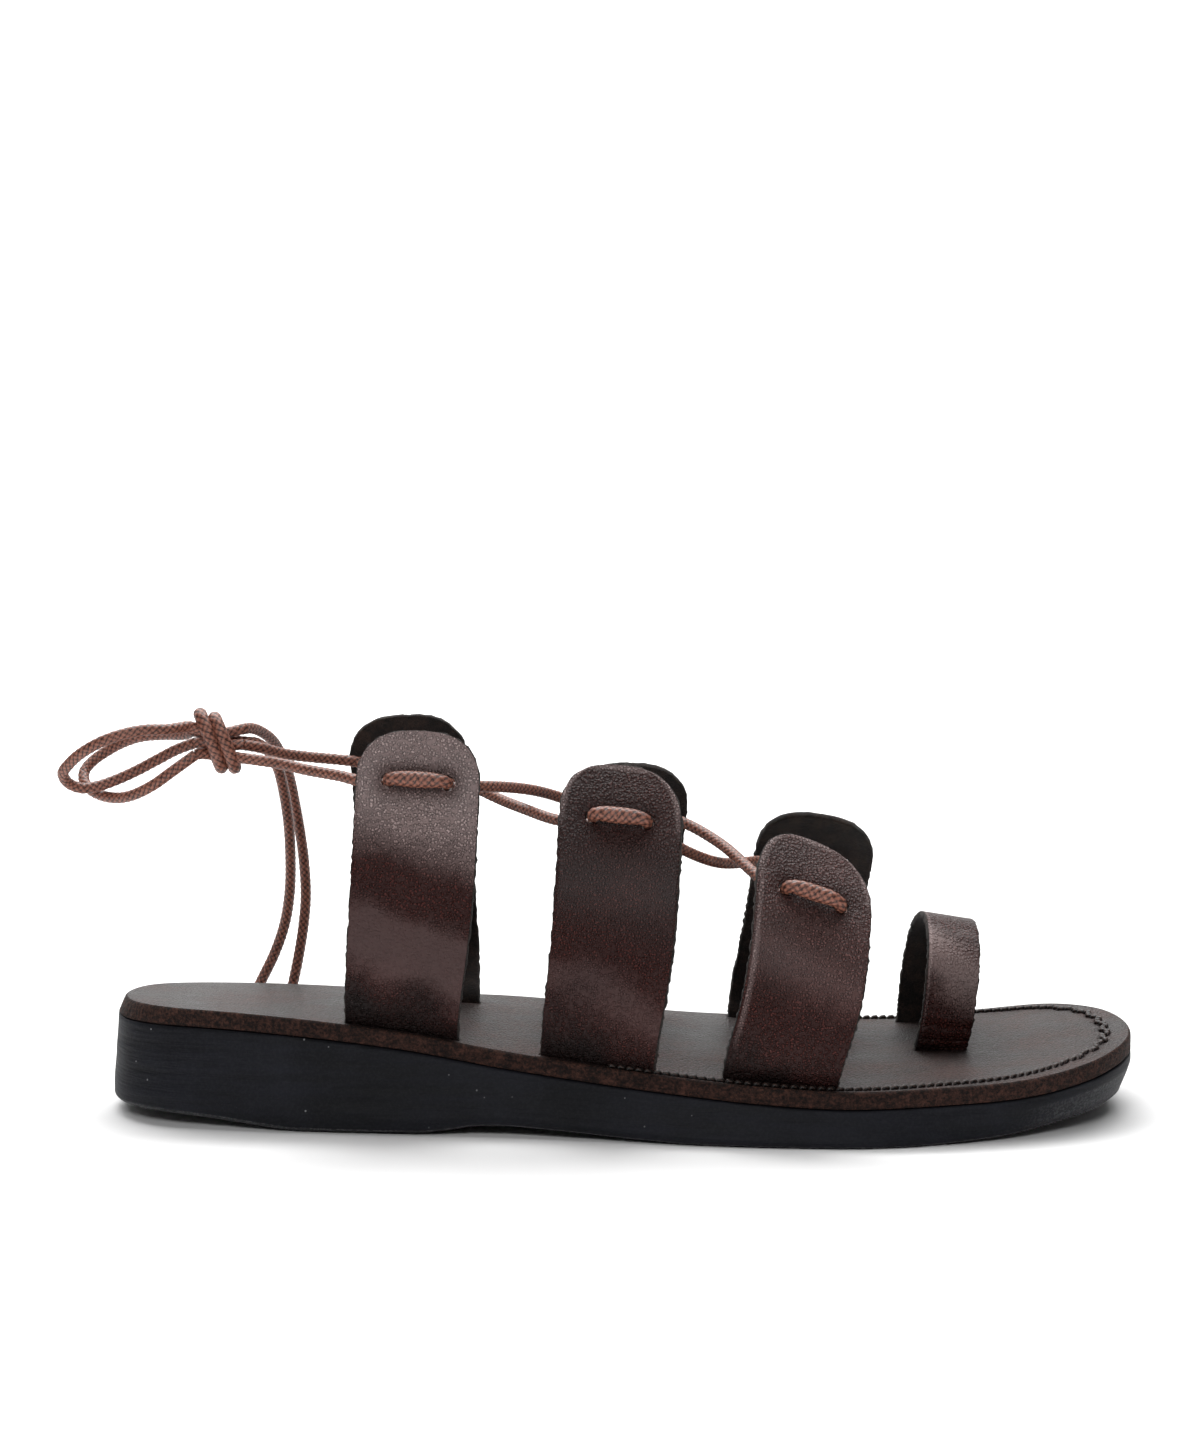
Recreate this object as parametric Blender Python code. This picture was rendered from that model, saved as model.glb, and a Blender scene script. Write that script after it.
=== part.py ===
"""A right leather sandal with three laced instep straps and a toe loop.

Metres, +X towards the toe, +Y towards the inner (big toe) side, +Z up. The
sandal stands on z = 0 and its origin lies under the middle of its box.
"""

import math
from collections import namedtuple

import bpy
import numpy as np
from mathutils import Matrix, Vector

# Sole
SOLE_LENGTH = 0.26025         # heel to toe along the leather edge
BALL_WIDTH = 0.0960         # widest place of the leather
HEEL_HEIGHT = 0.0282        # top of the leather under the heel
BALL_HEIGHT = 0.0136        # top of the leather under the ball
TOE_SPRING = 0.0068         # extra height of the leather's toe tip
BANK_RISE = 0.0013          # how far one edge of the leather stands over the middle
INSOLE_THICKNESS = 0.0044
LAYER_GAP = 0.0003          # leather to rubber, and leather to leather
HEEL_SLANT = 0.0018         # how far the leather's back edge leans out
SIDE_FLARE = 0.0030         # how far the rubber spreads towards the floor
TOE_BEVEL = 0.0025          # how far the rubber is cut in under the toe
TOE_LIFT = 0.0080           # underside over the floor at the toe tip
ARCH_LIFT = 0.0022          # underside over the floor at the waist
HEEL_ROLL = 0.0042          # underside over the floor at the heel's back
FLAT_BELOW = 0.0001         # an underside this near the floor is flat on it
PAD_HEIGHT = 0.0009         # soft raised pads on the leather
EDGE_ROUND = 0.0009         # rounding of the leather's edges

# Straps
STRAP_THICKNESS = 0.0020
INSTEP_HEIGHT = 0.1000      # tops of the tabs over the floor
SLOT_INSET = 0.0040         # middle of a slot in from the leather's edge
STRAP_BULGE = 0.0100        # how far a strap swells outwards
STRAP_REACH = 0.0200        # how far a tab reaches in over the foot
STRAP_LEAN = 0.0100         # how far a tab stands ahead of its foot
STRAP_WIDEN = 0.0030        # extra width of a tab over its foot
TAB_TILT = 0.0060           # one corner of a tab over its middle
EYELET_SPREAD = 0.0150      # between a tab's two eyelets
STRAP_WIDTH = 0.0285        # instep straps, at the slots
TOE_STRAP_WIDTH = 0.0138
SLOT_CLEARANCE = 0.0003
FOOT_DEPTH = 0.0036         # how deep a strap goes into its slot
TAB_ROUND = 0.0120          # height of a tab's rounded end
FOOT_STRAIGHT = 0.0014      # a strap leaves its slot upright for this much
EYELET_RADIUS = 0.0023
EYELET_DROP = 0.0122        # eyelets below the tab's top

# Lace
LACE_DIAMETER = 0.0031
LACE_STEP = 0.0062          # between two points of a lace's curve
LACE_STANDOFF = 0.0031      # lace centre to the middle of the leather

# Mesh fineness
SIDE_STEPS = 3              # points for each row of the sole's table
COLUMNS = 6                 # faces across the sole
STRAP_STEPS = 9             # rows of faces up a strap, below its rounded end
STRAP_COLUMNS = 6           # faces across a strap
LOOP_COLUMNS = 3            # faces across the toe loop
TAB_TURNS = (20, 38, 54, 68, 80)    # degrees round a tab's end
TAB_SQUARENESS = 0.75       # 1 is a half ellipse, less is squarer
ROUND_SIDES = 14            # sides of an eyelet and of the knot

BALL_HALF = BALL_WIDTH / 2

# Outline of the leather: share of its length, then shares of half the ball width.
SoleRow = namedtuple("SoleRow", "along lateral medial")
SOLE_ROWS = [
    SoleRow(0.000, -0.02, -0.02),
    SoleRow(0.015, -0.31, 0.29),
    SoleRow(0.054, -0.49, 0.47),
    SoleRow(0.119, -0.58, 0.565),
    SoleRow(0.200, -0.63, 0.625),
    SoleRow(0.291, -0.65, 0.635),
    SoleRow(0.372, -0.69, 0.64),
    SoleRow(0.463, -0.79, 0.70),
    SoleRow(0.555, -0.90, 0.815),
    SoleRow(0.646, -0.975, 0.92),
    SoleRow(0.732, -0.99, 0.985),
    SoleRow(0.823, -0.925, 1.0),
    SoleRow(0.899, -0.785, 0.925),
    SoleRow(0.954, -0.575, 0.77),
    SoleRow(0.988, -0.285, 0.515),
    SoleRow(1.000, 0.10, 0.10),
]

# Height of the leather: shares of heel over ball, of toe spring and of bank.
HeightRow = namedtuple("HeightRow", "along heel toe bank")
HEIGHT_ROWS = [
    HeightRow(0.00, 1.08, 0.00, 0.7),
    HeightRow(0.058, 1.03, 0.00, 1.0),
    HeightRow(0.119, 0.98, 0.00, 1.0),
    HeightRow(0.210, 0.86, 0.00, 0.75),
    HeightRow(0.291, 0.71, 0.00, 0.3),
    HeightRow(0.372, 0.56, 0.00, -0.7),
    HeightRow(0.453, 0.40, 0.00, -0.75),
    HeightRow(0.534, 0.22, 0.00, -0.35),
    HeightRow(0.615, 0.085, 0.00, -0.2),
    HeightRow(0.696, 0.0, 0.00, -0.1),
    HeightRow(0.798, 0.0, 0.04, 0.1),
    HeightRow(0.879, 0.0, 0.28, -0.3),
    HeightRow(0.949, 0.0, 0.68, -0.5),
    HeightRow(1.00, 0.0, 1.00, -0.2),
]

# Underside: shares of the heel's roll, the arch's lift, the toe's lift and the flare.
UnderRow = namedtuple("UnderRow", "along roll arch lift flare bevel")
UNDER_ROWS = [
    UnderRow(0.00, 1.00, 0.0, 0.00, 0.45, 0.0),
    UnderRow(0.048, 0.86, 0.0, 0.00, 0.75, 0.0),
    UnderRow(0.109, 0.52, 0.0, 0.00, 0.95, 0.0),
    UnderRow(0.180, 0.00, 0.0, 0.00, 1.25, 0.0),
    UnderRow(0.300, 0.00, 0.0, 0.00, 1.80, 0.0),
    UnderRow(0.330, 0.00, 0.45, 0.00, 1.75, 0.0),
    UnderRow(0.350, 0.00, 0.85, 0.00, 1.65, 0.0),
    UnderRow(0.372, 0.00, 1, 0.00, 1.60, 0.0),
    UnderRow(0.440, 0.00, 0.75, 0.00, 1.50, 0.0),
    UnderRow(0.500, 0.00, 0.3, 0.00, 1.40, 0.0),
    UnderRow(0.560, 0.00, 0.0, 0.00, 1.35, 0.0),
    UnderRow(0.630, 0.00, 0.0, 0.00, 1.20, 0.0),
    UnderRow(0.747, 0.00, 0.0, 0.00, 0.85, 0.0),
    UnderRow(0.798, 0.00, 0.0, 0.04, 0.55, 0.2),
    UnderRow(0.858, 0.00, 0.0, 0.15, 0.50, 0.6),
    UnderRow(0.919, 0.00, 0.0, 0.38, 0.40, 1.0),
    UnderRow(1.00, 0.00, 0.0, 0.72, 0.30, 1.0),
]

# The rubber's spread behind the heel, halved, puts the origin under the box's middle.
CENTRE_SHIFT = (HEEL_SLANT + UNDER_ROWS[0].flare * SIDE_FLARE) / 2

# Side of the rubber, top to bottom: share of its height, of the flare and of the bevel.
WallRow = namedtuple("WallRow", "down flare bevel")
WALL_ROWS = [
    WallRow(0.00, 0.00, 0.00),
    WallRow(0.26, 0.30, 0.00),
    WallRow(0.34, 0.40, 0.10),
    WallRow(0.62, 0.75, 0.48),
    WallRow(0.88, 1.00, 0.90),
    WallRow(0.97, 0.80, 1.06),
    WallRow(1.00, 0.35, 1.20),
]

# Raised pads of the leather: place, radius as shares of the ball width, and height.
Pad = namedtuple("Pad", "along across radius height")
PADS = [
    Pad(0.767, -0.22, 0.26, 0.9),
    Pad(0.595, -0.30, 0.22, 0.7),
    Pad(0.717, 0.42, 0.24, 0.8),
    Pad(0.929, 0.30, 0.20, 0.6),
]

# A strap, foot to top: shares of its rise, bulge, inward reach, lean and extra width.
StrapRow = namedtuple("StrapRow", "up bulge reach lean widen")
STRAP_SHAPE = [
    StrapRow(0.00, 0.00, 0.00, 0.00, 0.00),
    StrapRow(0.02, 0.05, 0.00, 0.00, 0.00),
    StrapRow(0.07, 0.40, 0.00, 0.05, 0.06),
    StrapRow(0.15, 0.78, 0.02, 0.16, 0.25),
    StrapRow(0.30, 1.00, 0.06, 0.42, 0.60),
    StrapRow(0.50, 0.95, 0.20, 0.68, 0.90),
    StrapRow(0.70, 0.62, 0.42, 0.84, 1.00),
    StrapRow(0.85, 0.33, 0.68, 0.94, 1.00),
    StrapRow(1.00, 0.00, 1.00, 1.00, 0.90),
]

# The six strap halves. side is -1 on the outer half and +1 on the inner half, along
# is a share of the sole's length, and the rest are shares of the straps' sizes.
Strap = namedtuple("Strap", "name side along inset top bulge reach lean widen tilt spread")
STRAPS = [
    Strap("strap_1_outer", -1, 0.2811, 0.90, 0.988, 0.60, 0.350, 0.45, 0.867, -0.100, 0.973),
    Strap("strap_1_inner", 1, 0.2933, 3.00, 0.992, 1.20, -0.150, -0.50, 1.000, 0.067, 1.000),
    Strap("strap_2_outer", -1, 0.4690, 0.90, 0.896, 0.50, 0.850, 0.60, 0.733, -0.200, 0.893),
    Strap("strap_2_inner", 1, 0.4735, 2.00, 0.868, 0.80, 0.550, 0.78, 0.800, -0.133, 0.933),
    Strap("strap_3_outer", -1, 0.6406, 1.25, 0.706, 0.40, 1.025, 0.95, 0.000, -0.967, 0.893),
    Strap("strap_3_inner", 1, 0.6598, 1.05, 0.724, 0.45, 0.925, 0.95, 1.200, -0.433, 1.000),
]

# The toe loop's arch, near foot to far foot: shares of its span, height and lean.
LoopRow = namedtuple("LoopRow", "row across up lean")
LOOP_ROWS = [
    LoopRow(0, 0.000, 0.00, 0.00),
    LoopRow(1, -0.003, 0.04, 0.03),
    LoopRow(2, -0.040, 0.14, 0.16),
    LoopRow(3, -0.055, 0.34, 0.42),
    LoopRow(4, -0.030, 0.56, 0.66),
    LoopRow(5, 0.040, 0.78, 0.86),
    LoopRow(6, 0.170, 0.93, 0.97),
    LoopRow(7, 0.360, 1.00, 1.00),
    LoopRow(8, 0.580, 0.985, 0.94),
    LoopRow(9, 0.790, 0.88, 0.78),
    LoopRow(10, 0.940, 0.68, 0.56),
    LoopRow(11, 1.010, 0.44, 0.32),
    LoopRow(12, 1.025, 0.20, 0.12),
    LoopRow(13, 1.003, 0.04, 0.03),
    LoopRow(14, 1.000, 0.00, 0.00),
]
LOOP_ALONG = 0.8097         # middle of the toe loop's feet, share of the length
LOOP_NEAR = -0.0020         # near foot, across the sole
LOOP_SPAN = 0.0415
LOOP_RISE = 0.0315          # top of the arch over the leather
LOOP_LEAN = 0.0040          # the arch's top leans towards the toe
LOOP_TILT = 0.0015          # its front edge hangs this much lower at the top, its rear edge higher

# Places in millimetres that the lace passes between two straps, and on its way
# from the rear straps to the knot. The higher strand of each crossing is second.
FRONT_CROSSING_LOW = [(14.6, -14, 68.5), (24.8, 0, 63), (36.6, 17, 61)]
FRONT_CROSSING_HIGH = [(33.5, -18, 62.2), (25, 0, 68), (15.7, 12, 72)]
FRONT_BRIDGE = [(56.2, -12, 54.6), (58, 12, 56)]
REAR_CROSSING_LOW = [(-35.4, 13.5, 79.4), (-26.1, 0, 77.2), (-16.4, -13, 75.6)]
REAR_CROSSING_HIGH = [(-15.5, 12.5, 78.2), (-24.3, 0, 82), (-35.6, -16, 84.6)]
KNOT_FROM_INNER = [
    (-71.4, 19, 87.4), (-83.2, 12.5, 89.3), (-88.7, 7.6, 90.6), (-93.8, 1.8, 92.7), (-97.8, -0.8, 93.7),
]
KNOT_FROM_OUTER = [
    (-67.4, -17, 86.3), (-71.4, -14.4, 87), (-80.9, -9, 88.1), (-88.5, -5.6, 89.4), (-96.7, -3.8, 90.4),
]

# Places in millimetres along the bow's loops and hanging ends.
LOOP_1_ROUTE = [
    (-111.8, -2.9, 98.6), (-116.5, -7.5, 98.2), (-121.4, -10, 98.3), (-126.6, -11, 97.4),
    (-131.9, -11, 95.6), (-137.7, -9, 92.4), (-141.6, -6, 89.2), (-143.8, -3, 86.4),
    (-142.9, 0, 83.6), (-140, 1.7, 82.2), (-136.6, 3, 82.4), (-132.1, 4, 83.8),
    (-126.6, 4, 86.2), (-120.9, 3, 89.2), (-115.2, 1.5, 92.2), (-110.2, -0.2, 94.1),
]
LOOP_2_ROUTE = [
    (-111.3, 3, 96.8), (-113.9, 6, 95.7), (-120, 11, 95.2), (-126.5, 14, 94.4),
    (-131.3, 16, 92.8), (-135.4, 17, 90.7), (-139.5, 16.2, 87.9), (-141.4, 14, 85.4),
    (-141, 11, 83), (-138.7, 8, 81), (-135.1, 5, 79.8), (-130.7, 2, 79.6),
    (-126.2, -1, 80.7), (-120.5, -3.5, 83.6), (-116, -4.5, 86.8), (-112.4, -4.2, 89.4),
    (-109.6, -3.4, 91.4),
]
END_1_ROUTE = [
    (-98.1, 2, 97.5), (-96.6, 5.6, 97.4), (-94.8, 11, 96.1), (-92.5, 17.5, 93.2),
    (-90.8, 23.5, 88.6), (-89.4, 29.5, 82), (-88.4, 34, 74), (-87.4, 37, 65.5),
    (-86.7, 39.2, 57), (-86.5, 40.4, 48), (-87.4, 41, 39), (-89, 41.5, 30),
    (-91, 42.2, 21), (-93, 43.6, 12.5), (-94.5, 46.6, 5.8), (-96.3, 52, 2.2),
    (-98.8, 60, 1.7), (-102.8, 68, 1.7), (-108.3, 75, 1.7),
]
END_2_ROUTE = [
    (-97.5, 4.4, 93.9), (-95.4, 7.8, 93.3), (-92.9, 12.4, 90.7), (-91.1, 17.4, 85.9),
    (-90, 22.5, 78.2), (-89.4, 27, 69), (-89.5, 31, 59.5), (-90.2, 34.4, 50.2),
    (-92, 37.4, 41), (-95, 39.8, 32.7), (-98.8, 41.6, 25), (-102.8, 43.4, 17),
    (-106.6, 45.8, 9.6), (-110.4, 49.4, 4), (-115, 53.8, 1.9), (-119.6, 60, 1.7),
    (-121.5, 67.5, 1.7), (-119, 75, 1.7), (-113, 80.5, 1.7),
]

# The knot: its middle, half height and half depth, and rows along its axis from
# the loops' side to the lace's side, as shares of its half length and half height.
KNOT_MIDDLE = (-0.1043, 0.0, 0.0940)
KNOT_SLANT = 14.0           # degrees between its axis and the floor
KNOT_HALF_LENGTH = 0.0050
KNOT_HALF_HEIGHT = 0.0082
KNOT_HALF_DEPTH = 0.0060
KnotRow = namedtuple("KnotRow", "along size")
KNOT_ROWS = [
    KnotRow(-1.00, 0.78), KnotRow(-0.84, 0.95), KnotRow(-0.56, 1.00), KnotRow(-0.26, 0.95),
    KnotRow(-0.02, 0.80), KnotRow(0.24, 0.92), KnotRow(0.54, 0.97), KnotRow(0.84, 0.90),
    KnotRow(1.00, 0.76),
]

# Gloss and colours of the plain solids
Finish = namedtuple("Finish", "color roughness")
FINISHES = {
    "rubber": Finish((0.018, 0.019, 0.022), 0.62),
    "footbed_leather": Finish((0.060, 0.045, 0.038), 0.42),
    "strap_leather": Finish((0.085, 0.040, 0.028), 0.34),
    "lace_cord": Finish((0.115, 0.048, 0.036), 0.48),
}


def along_of(x):
    """Share of the sole's length at x, 0 at the heel and 1 at the toe."""
    return (x - CENTRE_SHIFT) / SOLE_LENGTH + 0.5


def at_along(along):
    """x at a share of the sole's length."""
    return (along - 0.5) * SOLE_LENGTH + CENTRE_SHIFT


def smooth(rows, column, place, key="along"):
    """One column of a table at any place, on a smooth curve through its rows."""
    keys = np.array([getattr(row, key) for row in rows], dtype=float)
    values = np.array([getattr(row, column) for row in rows], dtype=float)
    slopes = np.gradient(values, keys)
    spot = np.clip(np.asarray(place, dtype=float), keys[0], keys[-1])
    left = np.clip(np.searchsorted(keys, spot, side="right") - 1, 0, len(keys) - 2)
    width = keys[left + 1] - keys[left]
    t = (spot - keys[left]) / width
    start = (2 * t**3 - 3 * t**2 + 1) * values[left] + (t**3 - 2 * t**2 + t) * width * slopes[left]
    end = (3 * t**2 - 2 * t**3) * values[left + 1] + (t**3 - t**2) * width * slopes[left + 1]
    return start + end


def smooth_path(points, steps, closed=False):
    """A smooth curve through points, with steps points for each of its spans."""
    points = np.array(points, dtype=float)
    count = len(points)
    spans = count if closed else count - 1
    path = []
    for i in range(spans):
        if closed:
            p = [points[(i + k) % count] for k in (-1, 0, 1, 2)]
        else:
            before = points[i - 1] if i else 2 * points[0] - points[1]
            after = points[i + 2] if i + 2 < count else 2 * points[-1] - points[-2]
            p = [before, points[i], points[i + 1], after]
        knots = [0.0]
        for a, b in zip(p, p[1:]):
            knots.append(knots[-1] + math.sqrt(max(np.linalg.norm(b - a), 1e-9)))
        for step in range(steps):
            t = knots[1] + (knots[2] - knots[1]) * step / steps
            a = [((knots[k + 1] - t) * p[k] + (t - knots[k]) * p[k + 1]) / (knots[k + 1] - knots[k])
                 for k in range(3)]
            b = [((knots[k + 2] - t) * a[k] + (t - knots[k]) * a[k + 1]) / (knots[k + 2] - knots[k])
                 for k in range(2)]
            path.append(((knots[2] - t) * b[0] + (t - knots[1]) * b[1]) / (knots[2] - knots[1]))
    if not closed:
        path.append(points[-1])
    return np.array(path)


def sole_outline():
    """The leather's outline as one ring: heel, outer side, toe, inner side."""
    outer = [(at_along(row.along), row.lateral * BALL_HALF) for row in SOLE_ROWS]
    inner = [(at_along(row.along), row.medial * BALL_HALF) for row in SOLE_ROWS[-2:0:-1]]
    return smooth_path(outer + inner, SIDE_STEPS, closed=True)


def outward(ring):
    """Unit directions that point out of a ring, seen from above."""
    ahead = np.roll(ring, -1, axis=0) - np.roll(ring, 1, axis=0)
    ahead /= np.linalg.norm(ahead, axis=1)[:, None]
    return np.stack([ahead[:, 1], -ahead[:, 0]], axis=1)


def edge_place(side, along, inset):
    """Point inset from the leather's edge, on one side, at a share of the length."""
    column = "lateral" if side < 0 else "medial"
    across = float(smooth(SOLE_ROWS, column, along)) * BALL_HALF
    return across - side * inset


def leather_height(x, y):
    """Top of the leather without its pads."""
    along = np.clip(along_of(np.asarray(x, dtype=float)), 0.0, 1.0)
    rise = smooth(HEIGHT_ROWS, "heel", along) * (HEEL_HEIGHT - BALL_HEIGHT)
    spring = smooth(HEIGHT_ROWS, "toe", along) * TOE_SPRING
    bank = smooth(HEIGHT_ROWS, "bank", along) * BANK_RISE * np.asarray(y) / (0.62 * BALL_HALF)
    return BALL_HEIGHT + rise + spring - bank


def pad_height(x, y):
    """Soft raised pads, each a round bump that fades to nothing at its radius."""
    total = np.zeros_like(np.asarray(x, dtype=float))
    for pad in PADS:
        away = np.hypot(x - at_along(pad.along), y - pad.across * BALL_WIDTH / 2)
        share = np.clip(1 - (away / (pad.radius * BALL_WIDTH)) ** 2, 0, 1)
        total = total + PAD_HEIGHT * pad.height * share**2
    return total


def heel_lean(x):
    """How far the lower edge of the leather stands out from its upper edge."""
    return HEEL_SLANT * np.clip(1 - along_of(x) / 0.075, 0, 1)


def underside_height(x, y):
    """Underside of the rubber: rolled heel, flat heel and ball, raised waist and toe."""
    along = np.clip(along_of(np.asarray(x, dtype=float)), 0.0, 1.0)
    outer_share = np.clip(0.75 - 0.4 * np.asarray(y) / BALL_HALF, 0.4, 1.0)
    height = (smooth(UNDER_ROWS, "roll", along) * HEEL_ROLL * outer_share
              + smooth(UNDER_ROWS, "arch", along) * ARCH_LIFT
              + smooth(UNDER_ROWS, "lift", along) * TOE_LIFT)
    return np.where(height < FLAT_BELOW, 0.0, height)


def add_leaf(points, faces, ring, height, facing_up, first):
    """Faces that close a ring of the sole with a grid between its two sides."""
    half = len(ring) // 2
    rows = []
    for i in range(half + 1):
        outer, inner = i % len(ring), (len(ring) - i) % len(ring)
        if outer == inner:
            rows.append([first + outer] * (COLUMNS + 1))
            continue
        row = [first + outer]
        for k in range(1, COLUMNS):
            spot = ring[outer] + (ring[inner] - ring[outer]) * k / COLUMNS
            row.append(len(points))
            points.append((spot[0], spot[1], float(height(spot[0], spot[1]))))
        row.append(first + inner)
        rows.append(row)
    for low, high in zip(rows, rows[1:]):
        for k in range(COLUMNS):
            face = [low[k], high[k], high[k + 1], low[k + 1]]
            face = [p for n, p in enumerate(face) if p != face[n - 1]]
            faces.append(face if facing_up else face[::-1])


def add_layer(name, rings, top_height, under_height, finish):
    """A solid of the sole: rings from top to bottom, closed above and below."""
    points, faces = [], []
    size = len(rings[0])
    for ring in rings:
        points.extend(tuple(map(float, p)) for p in ring)
    for level in range(len(rings) - 1):
        for i in range(size):
            j = (i + 1) % size
            a, b = level * size, (level + 1) * size
            faces.append([a + i, b + i, b + j, a + j])
    add_leaf(points, faces, rings[0][:, :2], top_height, True, 0)
    add_leaf(points, faces, rings[-1][:, :2], under_height, False, (len(rings) - 1) * size)
    return add_mesh(name, points, faces, finish)


def add_mesh(name, points, faces, finish=None):
    """A mesh object in the scene, with its material."""
    mesh = bpy.data.meshes.new(name)
    mesh.from_pydata([tuple(p) for p in points], [], faces)
    mesh.validate()
    thing = bpy.data.objects.new(name, mesh)
    bpy.context.scene.collection.objects.link(thing)
    if finish:
        mesh.materials.append(material(finish))
        mesh.shade_smooth()
        mesh.set_sharp_from_angle(angle=math.radians(38))
    return thing


def material(finish):
    """The Principled material of one finish, made once."""
    found = bpy.data.materials.get(finish)
    if found:
        return found
    made = bpy.data.materials.new(finish)
    made.use_nodes = True
    shader = made.node_tree.nodes["Principled BSDF"]
    shader.inputs["Base Color"].default_value = (*FINISHES[finish].color, 1.0)
    shader.inputs["Roughness"].default_value = FINISHES[finish].roughness
    shader.inputs["Metallic"].default_value = 0.0
    return made


def as_cutter(thing):
    """Keep an object out of the model, for use as a cutter."""
    thing.hide_render = True
    thing.display_type = "WIRE"
    return thing


def cut(thing, cutter):
    """Take a cutter's volume out of an object."""
    modifier = thing.modifiers.new("cut_" + cutter.name, "BOOLEAN")
    modifier.operation = "DIFFERENCE"
    modifier.solver = "EXACT"
    modifier.object = cutter


def add_insole(outline):
    """The thick leather layer, with rounded edges and soft pads."""
    normal = outward(outline)
    lean = heel_lean(outline[:, 0])

    def ring(out, below):
        spot = outline + normal * np.reshape(out, (-1, 1))
        return np.column_stack([spot, leather_height(outline[:, 0], outline[:, 1]) - below])

    deep = INSOLE_THICKNESS
    rings = [
        ring(-EDGE_ROUND * np.ones(len(outline)), 0.0),
        ring(-0.25 * EDGE_ROUND + 0.05 * lean, 0.3 * EDGE_ROUND),
        ring(0.2 * lean, EDGE_ROUND),
        ring(0.9 * lean, deep - 0.5 * EDGE_ROUND),
        ring(lean - 0.4 * EDGE_ROUND, deep),
    ]
    return add_layer(
        "insole", rings,
        lambda x, y: leather_height(x, y) + pad_height(x, y),
        lambda x, y: leather_height(x, y) - deep,
        "footbed_leather")


def add_outsole(outline):
    """The moulded rubber sole with its heel, arch, flared side and bevelled toe."""
    normal = outward(outline)
    x, y = outline[:, 0], outline[:, 1]
    along = np.clip(along_of(x), 0, 1)
    lean = heel_lean(x)
    top = leather_height(x, y) - INSOLE_THICKNESS - LAYER_GAP
    under = underside_height(x, y)
    flare = smooth(UNDER_ROWS, "flare", along) * SIDE_FLARE
    toe = smooth(UNDER_ROWS, "bevel", along)
    rings = []
    for row in WALL_ROWS:
        out = lean + row.flare * flare * (1 - toe) - row.bevel * toe * TOE_BEVEL
        spot = outline + normal * out[:, None]
        rings.append(np.column_stack([spot, top + (under - top) * row.down]))
    return add_layer(
        "outsole", rings,
        lambda px, py: leather_height(px, py) - INSOLE_THICKNESS - LAYER_GAP,
        underside_height,
        "rubber")


def strap_surface(strap, sideways, up):
    """A point of a strap's middle surface.

    sideways runs from -1 at the rear edge to 1 at the front edge, and up from
    0 where the strap leaves the leather to 1 at the top of its tab.
    """
    column = {name: float(smooth(STRAP_SHAPE, name, max(up, 0.0), key="up"))
              for name in ("bulge", "reach", "lean", "widen")}
    foot_x = at_along(strap.along) + sideways * STRAP_WIDTH / 2
    foot_y = foot_line(strap, sideways)
    foot_z = float(leather_height(foot_x, foot_y))
    half = (STRAP_WIDTH + column["widen"] * strap.widen * STRAP_WIDEN) / 2
    x = at_along(strap.along) + column["lean"] * strap.lean * STRAP_LEAN + sideways * half
    out = column["bulge"] * strap.bulge * STRAP_BULGE - column["reach"] * strap.reach * STRAP_REACH
    y = foot_y + strap.side * out
    top_z = strap.top * INSTEP_HEIGHT + sideways * strap.tilt * TAB_TILT
    z = foot_z + up * (top_z - foot_z)
    return Vector((x, y, z))


def foot_line(strap, sideways):
    """Where a strap's slot lies across the sole: straight, beside the edge."""
    half = STRAP_WIDTH / 2 / SOLE_LENGTH
    rear = edge_place(strap.side, strap.along - half, strap.inset * SLOT_INSET)
    front = edge_place(strap.side, strap.along + half, strap.inset * SLOT_INSET)
    return rear + (front - rear) * (sideways + 1) / 2


def add_strap(strap):
    """One half of an instep strap: foot in its slot, rounded tab, two eyelets."""
    rise = strap_rise(strap)
    upright = FOOT_STRAIGHT / rise
    round_from = 1 - TAB_ROUND / rise
    levels = [(0.0, 1.0), (0.0, 1.0)]
    for i in range(STRAP_STEPS + 1):
        levels.append((upright + (round_from - upright) * i / STRAP_STEPS, 1.0))
    for turn in TAB_TURNS:
        angle = math.radians(turn)
        up = round_from + (1 - round_from) * math.sin(angle) ** 0.9
        levels.append((up, math.cos(angle) ** TAB_SQUARENESS))
    points, faces = [], []
    for number, (up, share) in enumerate(levels):
        sink = Vector((0, 0, 0 if number else FOOT_DEPTH))
        for k in range(STRAP_COLUMNS + 1):
            sideways = (2 * k / STRAP_COLUMNS - 1) * share
            points.append(strap_surface(strap, sideways, up) - sink)
    width = STRAP_COLUMNS + 1
    for row in range(len(levels) - 1):
        for k in range(STRAP_COLUMNS):
            a = row * width + k
            face = [a, a + 1, a + width + 1, a + width]
            faces.append(face if strap.side < 0 else face[::-1])
    tip = len(points)
    points.append(strap_surface(strap, 0.0, 1.0))
    last = (len(levels) - 1) * width
    for k in range(STRAP_COLUMNS):
        face = [last + k, last + k + 1, tip]
        faces.append(face if strap.side < 0 else face[::-1])
    thing = add_mesh(strap.name, points, faces, "strap_leather")
    thicken(thing)
    for number, way in enumerate((-1, 1)):
        centre, across = eyelet(strap, way)
        cut(thing, add_drill(f"{strap.name}_drill_{number}", centre, across))
    return thing


def thicken(thing):
    """Give a leather sheet its thickness, half to each side."""
    solid = thing.modifiers.new("thickness", "SOLIDIFY")
    solid.thickness = STRAP_THICKNESS
    solid.offset = 0.0
    solid.use_even_offset = True


def strap_rise(strap):
    """Height of a strap's tab over the leather."""
    return strap.top * INSTEP_HEIGHT - float(leather_height(at_along(strap.along), 0.0))


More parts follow.
